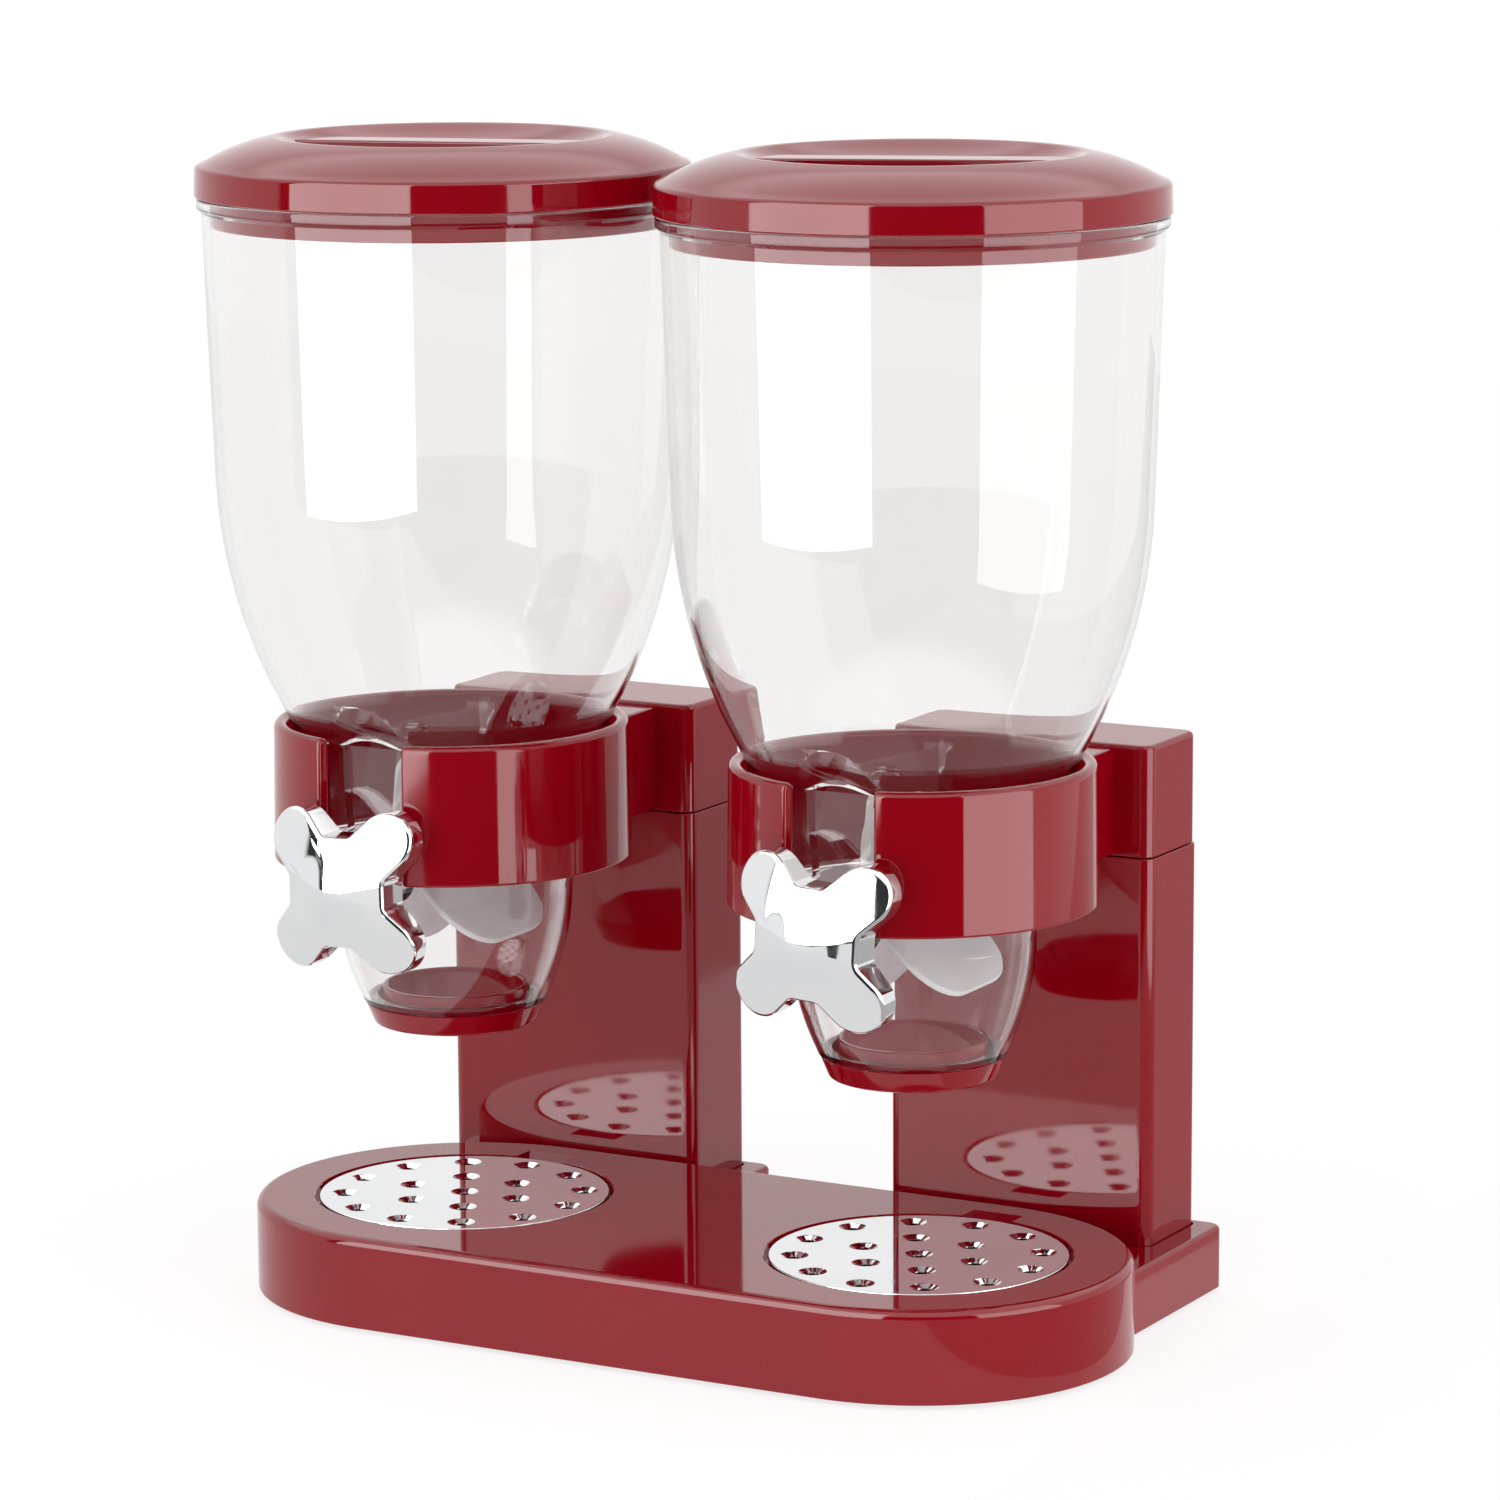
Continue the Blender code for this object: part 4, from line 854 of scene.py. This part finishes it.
def knob(side):
    """Rings of the outline: flat back, side, rounded edge, then inwards over the convex front."""
    rings = [(knob_outline(-KNOB_BACK_EDGE), 1.0, KNOB_BACK_Y, 0.0),
             (knob_outline(), 1.0, KNOB_BACK_Y - KNOB_BACK_EDGE, 0.0)]
    for k in range(7):
        angle = math.pi / 2 * k / 6
        inset = KNOB_EDGE_R * (1 - math.cos(angle))
        rings.append((knob_outline(-inset), 1.0, None, KNOB_EDGE_R * (1 - math.sin(angle))))
    flat = knob_outline(-KNOB_EDGE_R)
    rings += [(flat, 1.0 - k / KNOB_RINGS, None, 0.0) for k in range(1, KNOB_RINGS)]
    bm = bmesh.new()
    loops = []
    for outline, scale, level, drop in rings:
        loop = []
        for a, b in outline:
            y = knob_front(scale * math.hypot(a, b)) + drop if level is None else level
            loop.append(bm.verts.new((scale * a, y, scale * b)))
        loops.append(loop)
    count = len(flat)
    for one, two in zip(loops, loops[1:]):
        for k in range(count):
            bm.faces.new((one[k - 1], one[k], two[k], two[k - 1]))
    bm.faces.new(loops[0])
    bm.faces.new(loops[-1])
    body = finished(f"knob_shell_{side}", bm, CHROME, 50.0)
    hollows = [rod("bore", SHAFT_R, low(f"wheel_shaft_{side}").y - 0.3 * MM,
                   KNOB_BACK_Y + 5 * OVER, (0.0, 0.0))]
    for i in range(KNOB_LOBES):
        pocket = prism("pocket", rounded_box(POCKET_HALF_W, POCKET_Z0, POCKET_Z1, POCKET_R),
                       KNOB_BACK_Y - POCKET_DEPTH, KNOB_BACK_Y + 5 * OVER, along="Y")
        pocket.data.transform(Matrix.Rotation(math.radians(45 + 90 * i), 4, 'Y'))
        hollows.append(pocket)
    cut(body, *hollows, angle=50.0)
    body.data.transform(Matrix.Translation((AXIS_X[side], 0.0, AXLE_Z))
                        @ Matrix.Rotation(-KNOB_TURN[side], 4, 'Y'))
    stands_for(body, f"knob_{side}", f"wheel_{side}")


# ---- carried-over nodes -------------------------------------------------------------------
def dress(node, finish):
    obj = NODES[node]
    for slot in obj.material_slots:
        slot.material = finish
    if not obj.material_slots:
        obj.data.materials.append(finish)


def carried_over():
    dress("base_plate", BLACK)
    for node in NODES:
        if node.startswith("foot_"):
            dress(node, RUBBER)
        if "_screw_" in node:
            dress(node, STEEL)
    for side in SIDES:
        dress(f"lid_seal_{side}", SILICONE)
        dress(f"shaft_bush_{side}", ACETAL)
        dress(f"wheel_shaft_{side}", STEEL)


# ---- studio -------------------------------------------------------------------------------
def camera():
    azimuth = math.radians(29.0)
    elevation = math.radians(10.25)
    roll = math.radians(-0.314)
    distance = 1.8667
    aim = Vector((24.65 * MM, -13.6 * MM, 189.0 * MM))
    back = Vector((math.sin(azimuth) * math.cos(elevation),
                   -math.cos(azimuth) * math.cos(elevation), math.sin(elevation)))
    right = Vector((math.cos(azimuth), math.sin(azimuth), 0.0))
    up = back.cross(right)
    right, up = (right * math.cos(roll) + up * math.sin(roll),
                 up * math.cos(roll) - right * math.sin(roll))
    data = bpy.data.cameras.new("camera")
    data.lens = 141.05
    data.sensor_width = 36.0
    data.clip_end = 100.0
    obj = bpy.data.objects.new("camera", data)
    turn = Matrix((right, up, back)).transposed().to_4x4()
    obj.matrix_world = Matrix.Translation(aim + back * distance) @ turn
    bpy.context.scene.collection.objects.link(obj)
    bpy.context.scene.camera = obj


def floor(name, corners, finish):
    bm = bmesh.new()
    bm.faces.new([bm.verts.new((x, y, 0.0)) for x, y in corners])
    obj = finished(name, bm, finish)
    return obj


def pale_board(name, shade, glow):
    """Matt white lacquered board, lit evenly from below as on a light table."""
    mat, tree = new_material(name)[:2]
    shader = add(tree, "ShaderNodeBsdfPrincipled", {
        "Base Color": linear(shade), "Roughness": 0.9, "Emission Color": linear("ffffff"),
        "Emission Strength": glow})
    close(tree, shader)
    return mat


def softbox(name, azimuth, distance, half_angle, z0, z1, light):
    """Upright glowing panel that only glossy surfaces see."""
    mat, tree, place = new_material(name)
    edge = ramp(tree, noise(tree, place, 900 * MM), [(0.3, "f6f6f6"), (0.7, "ffffff")])
    close(tree, add(tree, "ShaderNodeEmission", {"Color": edge, "Strength": light}))
    half = distance * math.tan(math.radians(half_angle))
    bm = bmesh.new()
    bm.faces.new([bm.verts.new((a, -distance, z))
                  for a, z in ((-half, z0), (half, z0), (half, z1), (-half, z1))])
    bmesh.ops.rotate(bm, matrix=Matrix.Rotation(math.radians(azimuth), 3, 'Z'), verts=bm.verts)
    obj = finished(name, bm, mat)
    only_in_reflections(obj)


def only_in_reflections(obj):
    obj.visible_camera = False
    obj.visible_diffuse = False
    obj.visible_transmission = False
    obj.visible_shadow = False


def lamp(name, azimuth, height, distance, size, strength):
    data = bpy.data.lights.new(name, 'AREA')
    data.shape = 'SQUARE'
    data.size = size
    data.energy = strength
    obj = bpy.data.objects.new(name, data)
    a = math.radians(azimuth)
    obj.location = (distance * math.sin(a), -distance * math.cos(a), height)
    toward = Vector((0.0, 0.0, 0.2)) - obj.location
    obj.rotation_euler = toward.to_track_quat('-Z', 'Y').to_euler()
    obj.visible_camera = False
    obj.visible_glossy = False
    obj.visible_transmission = False
    bpy.context.scene.collection.objects.link(obj)


def world():
    """White all round to the eye; glossy surfaces see a dark room towards the camera."""
    made = bpy.data.worlds.new("studio")
    made.use_nodes = True
    tree = made.node_tree
    tree.nodes.clear()
    place = add(tree, "ShaderNodeTexCoord").outputs["Generated"]
    parts = add(tree, "ShaderNodeSeparateXYZ", {"Vector": place})
    front = add(tree, "ShaderNodeMath", {0: parts.outputs["Y"], 1: -1.0}, operation='MULTIPLY')
    azimuth = add(tree, "ShaderNodeMath", {0: parts.outputs["X"], 1: front.outputs[0]},
                  operation='ARCTAN2')
    turn = add(tree, "ShaderNodeMapRange", {"Value": azimuth.outputs[0], "From Min": -math.pi,
               "From Max": math.pi, "To Min": 0.0, "To Max": 1.0})
    walls = ((-180, 1.0), (-50, 1.0), (-48, 0.04), (80, 0.04), (82, 1.0), (180, 1.0))
    ramped = add(tree, "ShaderNodeValToRGB", {"Fac": turn.outputs["Result"]})
    elements = ramped.color_ramp.elements
    while len(elements) < len(walls):
        elements.new(0.5)
    for element, (degrees, light) in zip(elements, walls):
        element.position = (degrees + 180) / 360
        element.color = (light, light, light, 1.0)
    above = add(tree, "ShaderNodeMapRange", {"Value": parts.outputs["Z"], "From Min": 0.50,
                "From Max": 0.60})
    level = add(tree, "ShaderNodeMix", {"Factor": above.outputs["Result"],
                2: ramped.outputs["Color"], 3: 1.7}, data_type='FLOAT')
    room = add(tree, "ShaderNodeBackground", {"Color": linear("ffffff"),
               "Strength": level.outputs[0]})
    white = add(tree, "ShaderNodeBackground", {"Color": linear("ffffff"), "Strength": 1.0})
    dull = add(tree, "ShaderNodeBackground", {"Color": linear("ffffff"), "Strength": 0.7})
    path = add(tree, "ShaderNodeLightPath")
    dim = add(tree, "ShaderNodeMixShader", {"Fac": path.outputs["Is Diffuse Ray"],
              1: white.outputs[0], 2: dull.outputs[0]})
    mix = add(tree, "ShaderNodeMixShader", {"Fac": path.outputs["Is Glossy Ray"],
              1: dim.outputs[0], 2: room.outputs[0]})
    add(tree, "ShaderNodeOutputWorld", {"Surface": mix.outputs[0]})
    bpy.context.scene.world = made


def tables():
    """What glossy surfaces see of the floor: a white table in front and beside, dimmer at right."""
    side_x, far_x, back_y = 0.17, 0.62, 2.5
    front = ((-2.5, -0.95), (0.12, -0.95), (0.15, -0.45), (side_x, -0.44), (side_x, back_y),
             (-2.5, back_y))
    right = ((side_x, -0.44), (far_x, -0.42), (far_x, back_y), (side_x, back_y))
    for name, corners, finish, glow in (("table_in_reflections", front, "table_white", 0.62),
                                        ("table_right_in_reflections", right, "table_shade", 0.25)):
        only_in_reflections(floor(name, corners, pale_board(finish, "808080", glow)))


def studio():
    camera()
    world()
    reach = 12
    ground = floor("floor", ((-reach, -reach), (reach, -reach), (reach, reach), (-reach, reach)),
                   pale_board("pale_floor", "959595", 0.74))
    ground.visible_glossy = False
    tables()
    softbox("softbox_left", -15.0, 1.05, 28.0, 0.01, 1.4, 6.0)
    softbox("softbox_right", 82.0, 2.2, 23.0, -0.6, 1.6, 4.0)
    lamp("key_left", -20.0, 0.7, 1.6, 1.2, 3.0)
    lamp("fill_right", 82.0, 0.7, 1.8, 1.2, 6.0)
    scene = bpy.context.scene
    scene.view_settings.view_transform = 'Standard'
    scene.cycles.use_denoising = True


deck()
for unit in SIDES:
    grille(unit)
    column(unit)
    bracket(unit)
    canister(unit)
    outlet_ring(unit)
    lid(unit)
    wheel(unit)
    knob(unit)
carried_over()
studio()
